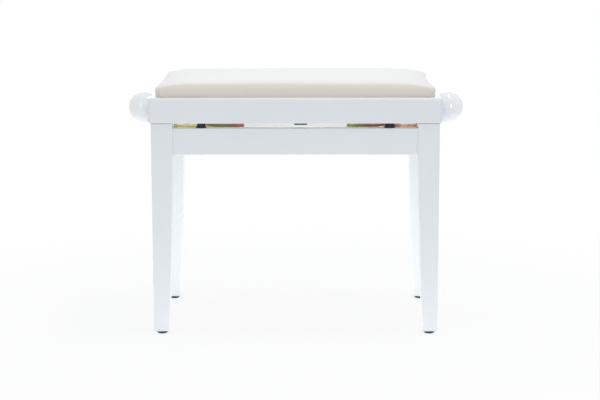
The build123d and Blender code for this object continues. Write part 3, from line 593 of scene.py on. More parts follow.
class BENCH_OT_lacquer_frame(bpy.types.Operator):
    """Sprays legs, aprons and seat rails with white satin lacquer"""

    bl_idname = "bench.lacquer_frame"
    bl_label = "Lacquer the frame"

    # Marks of the grain in a metre, along it and across it
    ALONG_GRAIN = 9.0
    ACROSS_GRAIN = 240.0
    JOINT_REACH = 0.0016

    def execute(self, context):
        paint = context.scene.bench_lacquer
        finishes = [self.spray(paint, axis) for axis in range(3)]
        for name in NODES_BY_SLOT["white_lacquer"]:
            low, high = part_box(name)
            longest = int(np.argmax(high - low))
            dress(frame["nodes"][name], finishes[longest])
        return {"FINISHED"}

    def spray(self, paint, axis):
        """Paint whose grain runs along one axis, with a painted highlight along its edges and painted shade
        in its joints.
        """
        material, tree, shader = new_material(
            f"white_lacquer_{'xyz'[axis]}",
            {"Coat Weight": 0.22, "Coat Roughness": 0.16, "Specular IOR Level": 0.5},
        )
        grain = [self.ACROSS_GRAIN] * 3
        grain[axis] = self.ALONG_GRAIN
        skin = effect(tree, "Lacquer skin", {
            "Colour": opaque(paint.white), "Roughness": 0.38, "Grain": grain, "Peel": 1.0 / paint.peel_size,
        })
        # Painted highlight: a lighter lacquer colour along the edges.
        wear_and_highlight = effect(tree, "Rubbed edges", {"Width": paint.highlight_width, "Amount": 0.7})["Mask"]
        # Painted shade: the lacquer turns grey in the narrow joints, found by ambient occlusion.
        joints = effect(tree, "Joint shade", {"Reach": self.JOINT_REACH, "Amount": 0.8})["Mask"]
        worn_and_highlit = tint(tree, wear_and_highlight, skin["Colour"], opaque(paint.wear_and_highlight))
        coat(
            tree, shader, skin, strength=0.35, distance=0.00005,
            Colour=tint(tree, joints, worn_and_highlit, opaque(paint.joint)),
            Roughness=calc(tree, "MULTIPLY_ADD", wear_and_highlight, -0.08, skin["Roughness"]),
        )
        return material


class BENCH_OT_polish_knobs(bpy.types.Operator):
    """Gives the two ball knobs polished white lacquer"""

    bl_idname = "bench.polish_knobs"
    bl_label = "Polish the knobs"

    def execute(self, context):
        paint = context.scene.bench_lacquer
        material, tree, shader = new_material("gloss_lacquer", {
            "Coat Weight": 0.9, "Coat IOR": 2.0, "Coat Roughness": 0.025, "Specular IOR Level": 0.0,
        })
        skin = effect(tree, "Lacquer skin", {
            "Colour": opaque(paint.knob_white), "Roughness": 0.2, "Grain": (30.0, 30.0, 30.0),
            "Peel": 0.5 / paint.peel_size,
        })
        coat(tree, shader, skin, strength=0.03, distance=0.00003)
        dress_nodes(NODES_BY_SLOT["gloss_lacquer"], material)
        return {"FINISHED"}


class BENCH_OT_bare_timber(bpy.types.Operator):
    """Gives the hidden boards and blocks their bare wood"""

    bl_idname = "bench.bare_timber"
    bl_label = "Bare timber"

    # Red, green and blue of the dark figure as shares of the pale wood's
    DARK_SHARES = (0.78, 0.72, 0.65)

    def execute(self, context):
        small = context.scene.bench_small_parts
        for slot, pale, grain in (
            ("plywood", small.plywood, (5.0, 60.0, 60.0)),
            ("raw_wood", small.beech, (28.0, 28.0, 160.0)),
        ):
            material, tree, shader = new_material(slot, {"Specular IOR Level": 0.35})
            dark = tuple(channel * share for channel, share in zip(pale, self.DARK_SHARES))
            figure = effect(tree, "Timber figure", {
                "Pale": opaque(pale), "Dark": opaque(dark), "Grain": grain,
            })
            coat(tree, shader, figure, strength=0.4, distance=0.00015)
            dress_nodes(NODES_BY_SLOT[slot], material)
        return {"FINISHED"}


# Cushion

# Share of the height, drawn in at the left end, right end, and front and back, corner radius
CUSHION_LEVELS = np.array((
    (0.00, 2.0, 1.6, 1.4, 10.0),
    (0.23, 0.6, 0.6, 0.2, 12.0),
    (0.47, 0.2, 0.0, 0.0, 14.0),
    (0.60, 1.8, 2.2, 0.7, 17.0),
    (0.72, 7.5, 10.5, 2.6, 24.0),
    (0.82, 17.5, 24.0, 7.0, 33.0),
    (0.91, 34.0, 44.0, 16.5, 45.0),
    (0.97, 56.0, 68.0, 40.0, 58.0),
    (1.00, 116.0, 124.0, 86.0, 52.0),
)) * (1.0, MM, MM, MM, MM)
# Its fullest level, and the radius of the corners there
FULLEST = 2
CORNER_RADIUS = CUSHION_LEVELS[FULLEST][4]
# How far the middle of each side is drawn in: rear, left, front, right
WAIST = np.array((1.5, 3.5, 1.5, 6.5)) * MM
# How far along its swing the drawing in already is at the foot, and how it gathers towards the middle
WAIST_LEAD = 0.15
WAIST_GATHER = 1.5
ROWS_PER_LEVEL = 8
BOTTOM_ROWS = 5
CROWN_ROWS = 12
FRONT_COLUMNS = 96
SIDE_COLUMNS = 52
ARC_COLUMNS = 30
SEATING_GAP = 0.00015
# Cloth up to this height is held to the seat while the cover fills
HELD_HEIGHT = 0.0035
CLOTH_QUALITY = 6
# Cloth points that each point of the cover follows, and the distance that evens out their shares
FOLLOWED = 6
FOLLOWED_EVENLY = 0.002


def smooth_levels():
    """The cushion's levels as a smooth curve with several rows to each level."""
    padded = np.vstack((2 * CUSHION_LEVELS[0] - CUSHION_LEVELS[1], CUSHION_LEVELS, CUSHION_LEVELS[-1]))
    rows = []
    for index in range(1, len(padded) - 2):
        before, start, stop, after = padded[index - 1:index + 3]
        for step in range(ROWS_PER_LEVEL):
            share = step / ROWS_PER_LEVEL
            rows.append(0.5 * (
                2 * start + (stop - before) * share
                + (2 * before - 5 * start + 4 * stop - after) * share**2
                + (3 * start - before - 3 * stop + after) * share**3
            ))
    rows.append(padded[-2])
    return np.array(rows)


def plan_ring(left, right, half_y, radius, waist):
    """Points round a rounded rectangle from its rear right corner on, its sides drawn in."""
    half_x, middle = (left + right) / 2, (right - left) / 2
    arcs = []
    for side_x, side_y, start in ((1, 1, 0.0), (-1, 1, 0.5), (-1, -1, 1.0), (1, -1, 1.5)):
        angles = math.pi * (start + 0.5 * np.arange(ARC_COLUMNS + 1) / ARC_COLUMNS)
        centre = np.array((middle + side_x * (half_x - radius), side_y * (half_y - radius)))
        arcs.append(centre + radius * np.stack((np.cos(angles), np.sin(angles)), axis=1))
    points = []
    counts = (FRONT_COLUMNS, SIDE_COLUMNS, FRONT_COLUMNS, SIDE_COLUMNS)
    inward = ((0, -1), (1, 0), (0, 1), (-1, 0))
    for index in range(4):
        points.extend(arcs[index])
        first, last = arcs[index][-1], arcs[(index + 1) % 4][0]
        for step in range(1, counts[index]):
            share = step / counts[index]
            bow = waist[index] * math.sin(math.pi * share) ** WAIST_GATHER
            points.append(first + (last - first) * share + bow * np.array(inward[index]))
    return np.array(points)


def cushion_grid(low, high, slack):
    """Rows of points over the whole cushion, from the middle of its underside to its crown."""
    half_x = (high.x - low.x) / 2 - slack
    half_y = (high.y - low.y) / 2 - slack
    height = high.z - low.z - slack - SEATING_GAP
    base = low.z + SEATING_GAP
    levels = smooth_levels()
    straight = np.zeros(4)

    def shrunk(level, up, share):
        """A ring of one level, shrunk towards the line down its middle."""
        left, right, edge_y = half_x - level[1], half_x - level[2], half_y - level[3]
        reach = edge_y * (1 - share)
        ring = plan_ring(left - reach, right - reach, edge_y * share, level[4] * share, straight)
        return np.column_stack((ring, np.full(len(ring), up)))

    rows = [shrunk(levels[0], base, step / BOTTOM_ROWS) for step in range(BOTTOM_ROWS)]
    for level in levels:
        draw = WAIST * max(0.0, math.sin(math.pi * min(1.0, WAIST_LEAD + level[0])))
        ring = plan_ring(half_x - level[1], half_x - level[2], half_y - level[3], level[4], draw)
        rows.append(np.column_stack((ring, np.full(len(ring), base + height * level[0]))))
    for step in range(1, CROWN_ROWS + 1):
        rows.append(shrunk(levels[-1], base + height, 1 - step / CROWN_ROWS))
    return np.array(rows)


def grid_normals(grid):
    """Outward directions of a grid of points, up and down at its two middle lines."""
    across = np.roll(grid, -1, axis=1) - np.roll(grid, 1, axis=1)
    along = np.gradient(grid, axis=0)
    normals = np.cross(across, along)
    lengths = np.linalg.norm(normals, axis=2, keepdims=True)
    normals = normals / np.maximum(lengths, 1e-12)
    normals[0] = (0.0, 0.0, -1.0)
    normals[-1] = (0.0, 0.0, 1.0)
    return normals


def grid_form(grid):
    """A closed form from rows of points."""
    work = bmesh.new()
    bridge(work, [[work.verts.new(point) for point in row] for row in grid])
    bmesh.ops.remove_doubles(work, verts=work.verts, dist=2 * TOUCHING)
    bmesh.ops.dissolve_degenerate(work, edges=work.edges, dist=TOUCHING)
    bmesh.ops.recalc_face_normals(work, faces=work.faces)
    return work


def blow_up(form, base, settings):
    """Fills the cover as cloth under pressure. Gives its points before and how far each moved."""
    scene = bpy.context.scene
    mesh = bpy.data.meshes.new("cover_cloth")
    form.to_mesh(mesh)
    form.free()
    source = bpy.data.objects.new("cover_cloth", mesh)
    scene.collection.objects.link(source)
    cells = source.modifiers.new("cells", "REMESH")
    cells.mode = "VOXEL"
    cells.voxel_size = settings.voxel
    remeshed = source.evaluated_get(bpy.context.evaluated_depsgraph_get())
    cloth_mesh = bpy.data.meshes.new_from_object(remeshed)
    bpy.data.objects.remove(source)
    cover = bpy.data.objects.new("cover_filling", cloth_mesh)
    scene.collection.objects.link(cover)
    before = np.array([corner.co for corner in cloth_mesh.vertices])
    held = cover.vertex_groups.new(name="held")
    held.add(np.flatnonzero(before[:, 2] < base + HELD_HEIGHT).tolist(), 1.0, "REPLACE")
    cloth = cover.modifiers.new("filling", "CLOTH")
    cloth.settings.quality = CLOTH_QUALITY
    cloth.settings.use_pressure = True
    cloth.settings.uniform_pressure_force = settings.pressure
    cloth.settings.vertex_group_mass = "held"
    cloth.settings.effector_weights.gravity = 0.0
    for step in range(1, settings.frames + 1):
        scene.frame_set(step)
    filled = cover.evaluated_get(bpy.context.evaluated_depsgraph_get()).to_mesh()
    moved = np.array([corner.co for corner in filled.vertices]) - before
    scene.frame_set(1)
    bpy.data.objects.remove(cover)
    return before, moved


def swollen(grid, before, moved, settings):
    """The grid pushed out along its own normals as far as the nearest cloth moved, evened out."""
    tree = KDTree(len(before))
    for index, start in enumerate(before):
        tree.insert(start, index)
    tree.balance()
    shifts = np.empty_like(grid)
    for row, column in np.ndindex(grid.shape[:2]):
        found = tree.find_n(grid[row, column], FOLLOWED)
        weights = np.array([1.0 / (distance + FOLLOWED_EVENLY) ** 2 for _, _, distance in found])
        near = moved[[hit for _, hit, _ in found]]
        shifts[row, column] = (weights[:, None] * near).sum(axis=0) / weights.sum()
    normals = grid_normals(grid)
    rise = (shifts * normals).sum(axis=2)
    for _ in range(settings.smoothing):
        above = np.vstack((rise[1:], rise[-1:]))
        below = np.vstack((rise[:1], rise[:-1]))
        rise = (2 * rise + above + below + np.roll(rise, 1, axis=1) + np.roll(rise, -1, axis=1)) / 6
    rise *= settings.swell / np.abs(rise).max()
    rise[:BOTTOM_ROWS + 1] = 0.0
    return grid + normals * rise[:, :, None]


# Each pleat: corner side in X and Y, bearing from the end face at its foot and top, height, strength
PLEATS = (
    (-1, -1, 73.0, 42.0, 0.0195, 1.0),
    (1, -1, 68.0, 40.0, 0.0185, 0.8),
    (-1, 1, 47.0, 56.0, 0.0190, 0.9),
    (1, 1, 52.0, 42.0, 0.0200, 1.0),
    (-1, -1, 22.0, 26.0, 0.0130, 0.35),
    (1, -1, 24.0, 27.0, 0.0120, 0.3),
    (-1, 1, 16.0, 24.0, 0.0140, 0.5),
    (1, 1, 22.0, 28.0, 0.0120, 0.45),
)
# Height up to which the cover lies flat, and over which a pleat begins
FLAT_BELOW = 0.0004
PLEAT_FOOT = 0.0015
# Share of its height from which a pleat fades
PLEAT_FADE = 0.45
# Half widths of a pleat's crease and of its rolled lip, the way between them and the lip's share of the depth
CREASE_WIDTH = 0.0011
LIP_WIDTH = 0.0019
LIP_OFFSET = 0.0028
LIP_SHARE = 0.55
# Pulls along the lower edge: depth, waves in a metre, place in the noise, heights where they come and go
PULL_DEPTH = 0.00055
PULL_RATE = 26.0
PULL_NOISE = 3.7
PULL_START = (0.0, 0.002)
PULL_END = (0.004, 0.02)
# Least way out from the straight part of the cushion that is pulled
PULL_REACH = 0.004
# Soft waves of the crown: height, waves in a metre, place in the noise, heights where they come
WAVE_HEIGHT = 0.0005
WAVE_RATE = 14.0
WAVE_NOISE = 8.1
WAVE_START = (0.02, 0.028)


def fold_profile(distance):
    """Depth across a pleat: a crease with a rolled lip on one side, as a share of its depth."""
    crease = -math.exp(-((distance / CREASE_WIDTH) ** 2))
    lip = LIP_SHARE * math.exp(-(((distance - LIP_OFFSET) / LIP_WIDTH) ** 2))
    return crease + lip


def pleated(x, y, up, bearing, reach):
    """How far the pleats of a corner stand out at one of its points, as a share of their depth."""
    total = 0.0
    for side_x, side_y, foot, top, tall, strength in PLEATS:
        if side_x * x < 0 or side_y * y < 0 or up > tall:
            continue
        line = foot + (top - foot) * up / tall
        distance = math.radians(bearing - line) * reach
        fade = (1 - eased(PLEAT_FADE * tall, tall, up)) * eased(0.0, PLEAT_FOOT, up)
        total += strength * fold_profile(distance) * fade
    return total


def press_pleats(points, low, high, depth):
    """Presses the corner pleats, the small pulls along the stapled lower edge and the crown's waves."""
    half_x, half_y = (high.x - low.x) / 2, (high.y - low.y) / 2
    centre_x, centre_y = half_x - CORNER_RADIUS, half_y - CORNER_RADIUS
    result = points.copy()
    for index, (x, y, z) in enumerate(points):
        up = z - low.z
        out_x = max(0.0, abs(x) - centre_x)
        out_y = max(0.0, abs(y) - centre_y)
        reach = math.hypot(out_x, out_y)
        on_end = out_x > out_y or (out_x == out_y and abs(x) / half_x > abs(y) / half_y)
        shift = 0.0
        if out_x > 0 and out_y > 0 and up > FLAT_BELOW:
            bearing = math.degrees(math.atan2(out_y, out_x))
            shift = depth * pleated(x, y, up, bearing, reach)
            direction = Vector((math.copysign(out_x, x), math.copysign(out_y, y), 0.0)).normalized()
        elif on_end:
            direction = Vector((math.copysign(1.0, x), 0.0, 0.0))
        else:
            direction = Vector((0.0, math.copysign(1.0, y), 0.0))
        if up > FLAT_BELOW and reach > PULL_REACH:
            pull = noise.noise(Vector((x * PULL_RATE, y * PULL_RATE, PULL_NOISE)))
            shift += PULL_DEPTH * pull * (1 - eased(*PULL_END, up)) * eased(*PULL_START, up)
        result[index] += np.array(direction) * shift
        wave = noise.noise(Vector((x * WAVE_RATE, y * WAVE_RATE, WAVE_NOISE)))
        result[index][2] += WAVE_HEIGHT * wave * eased(*WAVE_START, up)
    return result


class BENCH_OT_upholster_cushion(bpy.types.Operator):
    """Sews the cream velour cushion, fills it and folds its corners"""

    bl_idname = "bench.upholster_cushion"
    bl_label = "Upholster the cushion"

    # Slopes as shares of a right angle
    BROW_SLOPE = 0.10
    SHOULDER_SLOPE = 0.36
    SIDE_SLOPE = 0.75
    # The painted light and shade by slope weigh a fall towards an end less: with 0.75, a fall towards an end
    # counts as half its angle
    END_SLOPE_WEIGHT = 0.75

    def execute(self, context):
        settings = context.scene.bench_cushion
        low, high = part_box("cushion_cover")
        slack = settings.slack
        grid = cushion_grid(low, high, slack)
        before, moved = blow_up(grid_form(grid), low.z, settings)
        grid = swollen(grid, before, moved, settings)
        points = self.settled(grid.reshape(-1, 3), low, high)
        points = press_pleats(points, low, high, settings.pleat_depth)
        cushion = new_piece(
            "velour_cushion", grid_form(points.reshape(grid.shape)), "seat",
            ("cushion_cover", "cushion_foam"), self.velour(settings), sharp_above=75.0,
        )
        return {"FINISHED"}

    def settled(self, points, low, high):
        """The filled cushion brought back to its width, depth and height, and flat underneath."""
        result = points.copy()
        base = low.z + SEATING_GAP
        for axis, (start, stop) in enumerate(((low.x, high.x), (low.y, high.y))):
            least, most = points[:, axis].min(), points[:, axis].max()
            result[:, axis] = start + (points[:, axis] - least) * (stop - start) / (most - least)
        top = points[:, 2].max()
        rise = np.maximum(0.0, points[:, 2] - base)
        result[:, 2] = base + rise * (high.z - base) / (top - base)
        return result

    def velour(self, settings):
        """Short cream pile that shines where it is seen along its surface, with painted light and shade by
        slope: paler on the crown, darker on the shoulder.
        """
        material, tree, shader = new_material("velour", {
            "Roughness": 0.62, "Specular IOR Level": 0.5, "Sheen Weight": 1.0, "Sheen Roughness": 0.5,
            "Sheen Tint": (0.92, 0.97, 1.0, 1.0),
        })
        outward = split(tree, facing(tree))
        end_share = calc(tree, "MULTIPLY", calc(tree, "POWER", outward["X"], 2.0), self.END_SLOPE_WEIGHT)
        upward = calc(tree, "SQRT", calc(tree, "MULTIPLY_ADD", outward["Z"], outward["Z"], end_share))
        slope = calc(tree, "MULTIPLY", calc(tree, "ARCCOSINE", upward), 2 / math.pi)
        # Painted light and shade by slope: a pale crown, then the brow and the darker shoulder, then the
        # plain velour on the sides.
        brushed = graded(tree, slope, (
            (0.0, settings.crown), (self.BROW_SLOPE, settings.brow_painted_light),
            (self.SHOULDER_SLOPE, settings.shoulder), (self.SIDE_SLOPE, settings.velour),
        ))
        nap = effect(tree, "Fibre nap", {
            "Colour": brushed, "Pitch": settings.pile_pitch, "Contrast": 0.07,
        })
        coat(tree, shader, nap, strength=0.5, distance=0.00025)
        return material


# Metal parts


def bright_steel(metal):
    """Zinc-bright steel, made once."""
    known = bpy.data.materials.get("bright_steel_finish")
    if known:
        return known
    material, tree, shader = new_material("bright_steel_finish", {"Metallic": 1.0})
    handled = effect(tree, "Handled metal", {
        "Colour": opaque(metal.steel), "Roughness": 0.32, "Lines": (220.0, 900.0, 900.0),
    })
    wear_and_highlight = effect(tree, "Rubbed edges", {"Width": 0.0006, "Amount": 0.8})["Mask"]
    worn_and_highlit = tint(tree, wear_and_highlight, handled["Colour"], (0.82, 0.82, 0.82, 1.0))
    coat(tree, shader, handled, strength=0.25, distance=0.00005, Colour=worn_and_highlit)
    return material


class BENCH_OT_plate_lift(bpy.types.Operator):
    """Plates the lift's arms, channels, rods and washers with yellow zinc"""

    bl_idname = "bench.plate_lift"
    bl_label = "Plate the lift"

    # Film colours of yellow passivation, from thin to thick
    FILM = (
        (0.05, (0.34, 0.19, 0.08)),
        (0.17, (0.62, 0.44, 0.20)),
        (0.30, (0.95, 0.86, 0.50)),
        (0.42, (0.72, 0.68, 0.34)),
        (0.51, (0.23, 0.29, 0.09)),
        (0.59, (0.24, 0.28, 0.09)),
        (0.67, (0.34, 0.15, 0.11)),
        (0.80, (0.30, 0.10, 0.11)),
        (0.91, (0.95, 0.62, 0.42)),
        (1.00, (0.50, 0.30, 0.20)),
    )
    PLAIN_FILM = 0.25
    # Heights between which the film turns colourful, where air comes in through the gap, and plain again
    RIM = (0.384, 0.389)
    RIM_END = (0.402, 0.408)
    # How squarely a face looks to the front or the back to be part of a plate
    PLATE = (0.4, 0.8)
    # How restless the film is where it is plain and on the rims, and its clouds in a metre
    RESTLESS = (0.2, 0.5)
    CLOUDS = (60.0, 26.0, 60.0)
    # Each pair of arms hung from its left end in the bath: place of that end and of the next pair's
    BATH = (-0.245, 0.025)
    # Film at both places
    BATH_FILM = (0.24, 1.21)

    def execute(self, context):
        material, tree, shader = new_material("yellow_zinc", {"Metallic": 0.6})
        drift = mottle(tree, stretched(tree, self.CLOUDS), roughness=0.45, distortion=0.6)
        here = split(tree, object_place(tree))
        plate = spread(tree, calc(tree, "ABSOLUTE", split(tree, facing(tree))["Y"]), *self.PLATE)
        above = spread(tree, here["Z"], *self.RIM)
        below = spread(tree, here["Z"], *self.RIM_END, 1.0, 0.0)
        rim = calc(tree, "MULTIPLY", calc(tree, "MULTIPLY", above, below), plate)
        start, end = self.BATH
        along = spread(tree, calc(tree, "WRAP", here["X"], end, start), start, end, *self.BATH_FILM)
        colourful = calc(tree, "SUBTRACT", along, self.PLAIN_FILM)
        level = calc(tree, "MULTIPLY_ADD", colourful, rim, self.PLAIN_FILM)
        restless = spread(tree, rim, 0.0, 1.0, *self.RESTLESS)
        thickness = calc(tree, "MULTIPLY_ADD", calc(tree, "SUBTRACT", drift, 0.5), restless, level)
        handled = effect(tree, "Handled metal", {
            "Colour": graded(tree, thickness, self.FILM), "Roughness": 0.34, "Lines": (60.0, 300.0, 700.0),
        })
        wear_and_highlight = effect(tree, "Rubbed edges", {"Width": 0.0009, "Amount": 0.6})["Mask"]
        worn_and_highlit = tint(tree, wear_and_highlight, handled["Colour"], (0.78, 0.74, 0.62, 1.0))
        coat(tree, shader, handled, strength=0.2, distance=0.00006, Colour=worn_and_highlit)
        dress_nodes(NODES_BY_SLOT["yellow_zinc"], material)
        return {"FINISHED"}


class BENCH_OT_thread_spindle(bpy.types.Operator):
    """Cuts the left- and right-hand threads of the spindle"""

    bl_idname = "bench.thread_spindle"
    bl_label = "Thread the spindle"

    THREAD_START = 0.086
    THREAD_END = 0.199
    SHOULDER = 0.2497
    BAR_RADIUS = 0.007
    END_RADIUS = 0.006
    CHAMFER = 0.001
    RUN_OUT = 0.004
    STEPS_PER_TURN = 9
    SEGMENTS = 30
    # Length over which the bar steps down at its shoulder
    STEP_DOWN = 1e-5

    def execute(self, context):
        metal = context.scene.bench_metal
        low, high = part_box("spindle")
        chamfer_start = high.x - self.CHAMFER
        half = [0.0, self.THREAD_START]
        step = metal.spindle_lead / self.STEPS_PER_TURN
        half.extend(np.arange(self.THREAD_START + step, self.THREAD_END, step))
        half.extend((self.THREAD_END, self.SHOULDER - self.STEP_DOWN, self.SHOULDER, chamfer_start, high.x))
        stations = sorted({-along for along in half} | set(half))

        def radius_at(along, angle):
            reach = abs(along)
            if reach > chamfer_start + TOUCHING:
                return self.END_RADIUS - self.CHAMFER
            if reach > self.SHOULDER - TOUCHING:
                return self.END_RADIUS
            cut = eased(self.THREAD_START, self.THREAD_START + self.RUN_OUT, reach)
            cut *= 1 - eased(self.THREAD_END - self.RUN_OUT, self.THREAD_END, reach)
            height = thread_height(reach / metal.spindle_lead - angle / math.tau)
            return self.BAR_RADIUS - metal.spindle_thread_depth * cut * (1 - height)

        work = bmesh.new()
        where = Matrix.Translation((0, 0, (low.z + high.z) / 2))
        add_turned(work, where, stations, radius_at, self.SEGMENTS)
        new_piece("threaded_spindle", work, "spindle", ("spindle",), bright_steel(metal))
        return {"FINISHED"}


class BENCH_OT_thread_leg_bolts(bpy.types.Operator):
    """Cuts threads on the hanger bolts of the legs and finishes their nuts"""

    bl_idname = "bench.thread_leg_bolts"
    bl_label = "Thread the leg bolts"

    DEPTH = 0.0006
    # Length of the tapered ends
    TAPER = 0.001
    STEPS_PER_TURN = 6
    SEGMENTS = 18

    def execute(self, context):
        metal = context.scene.bench_metal
        work = bmesh.new()
        for points in solids_of("leg_bolts"):
            self.add_bolt(work, points, metal.bolt_pitch)
        new_piece(
            "threaded_leg_bolts", work, "base", ("leg_bolts",), bright_steel(metal),
        )
        dress_nodes(("leg_nuts", "glide_nails"), bright_steel(metal))
        return {"FINISHED"}

    def add_bolt(self, work, points, pitch):
        """One bolt where the solid is, from the leg's corner towards the bench's middle."""
        centre = points.mean(axis=0)
        inward = Vector((math.copysign(1, -centre[0]), math.copysign(1, -centre[1]), 0)).normalized()
        along = (points - centre) @ np.array(inward)
        radius = np.linalg.norm((points - centre) - np.outer(along, np.array(inward)), axis=1).max()
        length = along.max() - along.min()
        count = int(length / pitch * self.STEPS_PER_TURN)
        stations = [length * step / count for step in range(count + 1)]

        def radius_at(place_along, angle):
            height = thread_height(place_along / pitch - angle / math.tau)
            full = eased(0.0, self.TAPER, place_along) * (1 - eased(length - self.TAPER, length, place_along))
            return radius - self.DEPTH * (1 - height * full)

        where = Matrix.Translation(Vector(centre) + inward * along.min()) @ axes_along(inward)
        add_turned(work, where, stations, radius_at, self.SEGMENTS)


class BENCH_OT_drive_screws(bpy.types.Operator):
    """Puts in the pan-head screws with their cross recesses"""

    bl_idname = "bench.drive_screws"
    bl_label = "Drive the screws"

    # Node, the body that it rides on and the axis of its screws
    SCREWS = (
        ("channel_screws", "base", 1),
        ("buffer_screws", "base", 2),
        ("guide_rail_screws", "seat", 2),
        ("panel_screws", "seat", 2),
        ("cushion_screws", "seat", 2),
    )
    # Corners beyond this share of the head's radius lie on its rim
    RIM = 0.97
    # Corners this near the solid's end lie on it
    NEAR = 1e-5
    # Radius and height of the head as shares of the solid's head
    DOME = ((1.0, 0.0), (0.985, 0.22), (0.93, 0.48), (0.83, 0.72), (0.70, 0.90), (0.60, 0.97))
    SEGMENTS = 24
    # Radius and length of the point as shares of the shank's radius
    POINT_RADIUS = 0.35
    POINT_LENGTH = 1.6
    # Cross recess as shares of the head's radius and height, and the share of it at its floor
    RECESS_REACH = 0.47
    RECESS_WIDTH = 0.11
    RECESS_DEPTH = 0.62
    RECESS_FLOOR = 0.55

    def execute(self, context):
        finish = bright_steel(context.scene.bench_metal)
        for node, body, axis in self.SCREWS:
            work = bmesh.new()
            for points in solids_of(node):
                self.add_screw(work, points, axis)
            new_piece(f"cross_head_{node}", work, body, (node,), finish, sharp_above=40.0)
        return {"FINISHED"}

    def add_screw(self, work, points, axis):
        """One screw where the solid is: head on its seat, shank towards its far end."""
        along = points[:, axis]
        others = [index for index in range(3) if index != axis]
        middle = (points.min(axis=0) + points.max(axis=0)) / 2
        reach = np.linalg.norm(points[:, others] - middle[others], axis=1)
        head_radius = reach.max()
        seat = along[reach > self.RIM * head_radius].mean()
        crown, tip = along.min(), along.max()
        if tip - seat <= seat - crown:
            crown, tip = tip, crown
        shank_radius = reach[np.abs(along - tip) < self.NEAR].max()
        direction = Vector()
        direction[axis] = math.copysign(1.0, seat - tip)
        origin = middle.copy()
        origin[axis] = seat
        where = Matrix.Translation(Vector(origin)) @ axes_along(direction)
        rings = self.add_shank(work, where, shank_radius, abs(tip - seat))
        self.add_head(work, where, rings, head_radius, abs(crown - seat))

    def add_shank(self, work, where, radius, length):
        """Rings of the shank from its point to its seat, along the screw's own +X."""
        profile = (
            (-length, self.POINT_RADIUS * radius),
            (self.POINT_LENGTH * radius - length, radius),
            (0.0, radius),
        )
        rings = [add_ring(work, where, along, [reach] * self.SEGMENTS) for along, reach in profile]
        work.faces.new(rings[0])
        return rings

    def add_head(self, work, where, rings, radius, height):
        """The dome on top of the shank's rings, and the cross recess in it."""
        for share, rise in self.DOME:
            rings.append(add_ring(work, where, rise * height, [share * radius] * self.SEGMENTS))
        bridge(work, rings)
        top = self.DOME[-1][1] * height
        mouth = self.add_cross(work, where, top, radius, 1.0)
        floor = self.add_cross(work, where, top - self.RECESS_DEPTH * height, radius, self.RECESS_FLOOR)
        rim = rings[-1]
        edges = [work.edges.get((rim[step - 1], rim[step])) for step in range(len(rim))]
        edges.extend(work.edges.new((mouth[step - 1], mouth[step])) for step in range(len(mouth)))
        bmesh.ops.triangle_fill(work, edges=edges, use_beauty=True)
        bridge(work, (mouth, floor))
        work.faces.new(floor)

    def add_cross(self, work, where, along, radius, share):
        """Corners round the cross recess, which narrows by a share."""
        reach = self.RECESS_REACH * radius * share
        half = self.RECESS_WIDTH * radius * (0.5 + 0.5 * share)
        corners = []
        for quarter in range(4):
            turned = where @ Matrix.Rotation(quarter * math.pi / 2, 4, "X")
            for out, across in ((half, -half), (reach, -half), (reach, half)):
                corners.append(work.verts.new(turned @ Vector((along, out, across))))
        return corners


# Rubber, plastic and felt


class BENCH_OT_fit_small_parts(bpy.types.Operator):
    """Finishes the rubber buffers, foot glides and spindle bushes, and lays the felt pad"""

    bl_idname = "bench.fit_small_parts"
    bl_label = "Fit the small parts"

    # How far the felt's loose fibres hang below its cut
    FELT_NAP = 0.00045
    FELT_ROUNDING = 0.0006
    # Edges of the pad longer than this are cut up
    FELT_CELL = 0.003
    FELT_CUTS = 9
    # Height of the fuzz and its waves in a metre
    FUZZ = 0.00012
    FUZZ_RATE = 900.0
    # Start of the fuzz's noise, which otherwise comes from the clock
    FUZZ_SEED = 7
    # Felt this close to the rail is glued flat
    GLUE_LINE = 0.0002

    def execute(self, context):
        small = context.scene.bench_small_parts
        for slot, colour, dust, roughness, grain in (
            ("black_rubber", small.rubber, (0.06, 0.06, 0.06), 0.62, 2600.0),
            ("black_plastic", small.plastic, (0.11, 0.11, 0.105), 0.42, 1800.0),
            ("nylon", small.nylon, (0.55, 0.52, 0.46), 0.45, 1500.0),
        ):
            material, tree, shader = new_material(slot, {"Specular IOR Level": 0.45})
            skin = effect(tree, "Moulded skin", {
                "Colour": opaque(colour), "Dust": opaque(dust), "Roughness": roughness, "Grain": grain,
            })
            coat(tree, shader, skin, strength=0.3, distance=0.00008)
            dress_nodes(NODES_BY_SLOT[slot], material)
        self.lay_felt(small)
        return {"FINISHED"}

    def lay_felt(self, small):
        """A cut felt pad with soft edges, glued under the front rail."""
        low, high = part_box("felt_pad")
        low = low - Vector((0.0, 0.0, self.FELT_NAP))
        work = bmesh.new()
        bmesh.ops.create_cube(work, size=1.0)
        bmesh.ops.scale(work, vec=high - low, verts=work.verts)
        bmesh.ops.bevel(
            work, geom=work.edges[:], offset=self.FELT_ROUNDING, segments=2, affect="EDGES", profile=0.6,
        )
        long_edges = [edge for edge in work.edges if edge.calc_length() > self.FELT_CELL]
        bmesh.ops.subdivide_edges(work, edges=long_edges, cuts=self.FELT_CUTS, use_grid_fill=True)
        bmesh.ops.translate(work, vec=(low + high) / 2, verts=work.verts)
        noise.seed_set(self.FUZZ_SEED)
        for corner in work.verts:
            fuzz = noise.noise_vector(corner.co * self.FUZZ_RATE) * self.FUZZ
            loose = corner.co.z < high.z - self.GLUE_LINE
            corner.co += Vector((fuzz.x, fuzz.y, min(0.0, fuzz.z) if loose else 0.0))
        material, tree, shader = new_material("felt_finish", {
            "Roughness": 0.95, "Specular IOR Level": 0.1, "Sheen Weight": 0.3, "Sheen Roughness": 0.6,
        })
        nap = effect(tree, "Fibre nap", {"Colour": opaque(small.felt), "Pitch": 0.0006, "Contrast": 0.5})
        coat(tree, shader, nap, strength=0.7, distance=0.0003)
        pad = new_piece("cut_felt_pad", work, "seat", ("felt_pad",), material, sharp_above=60.0)


# Stage


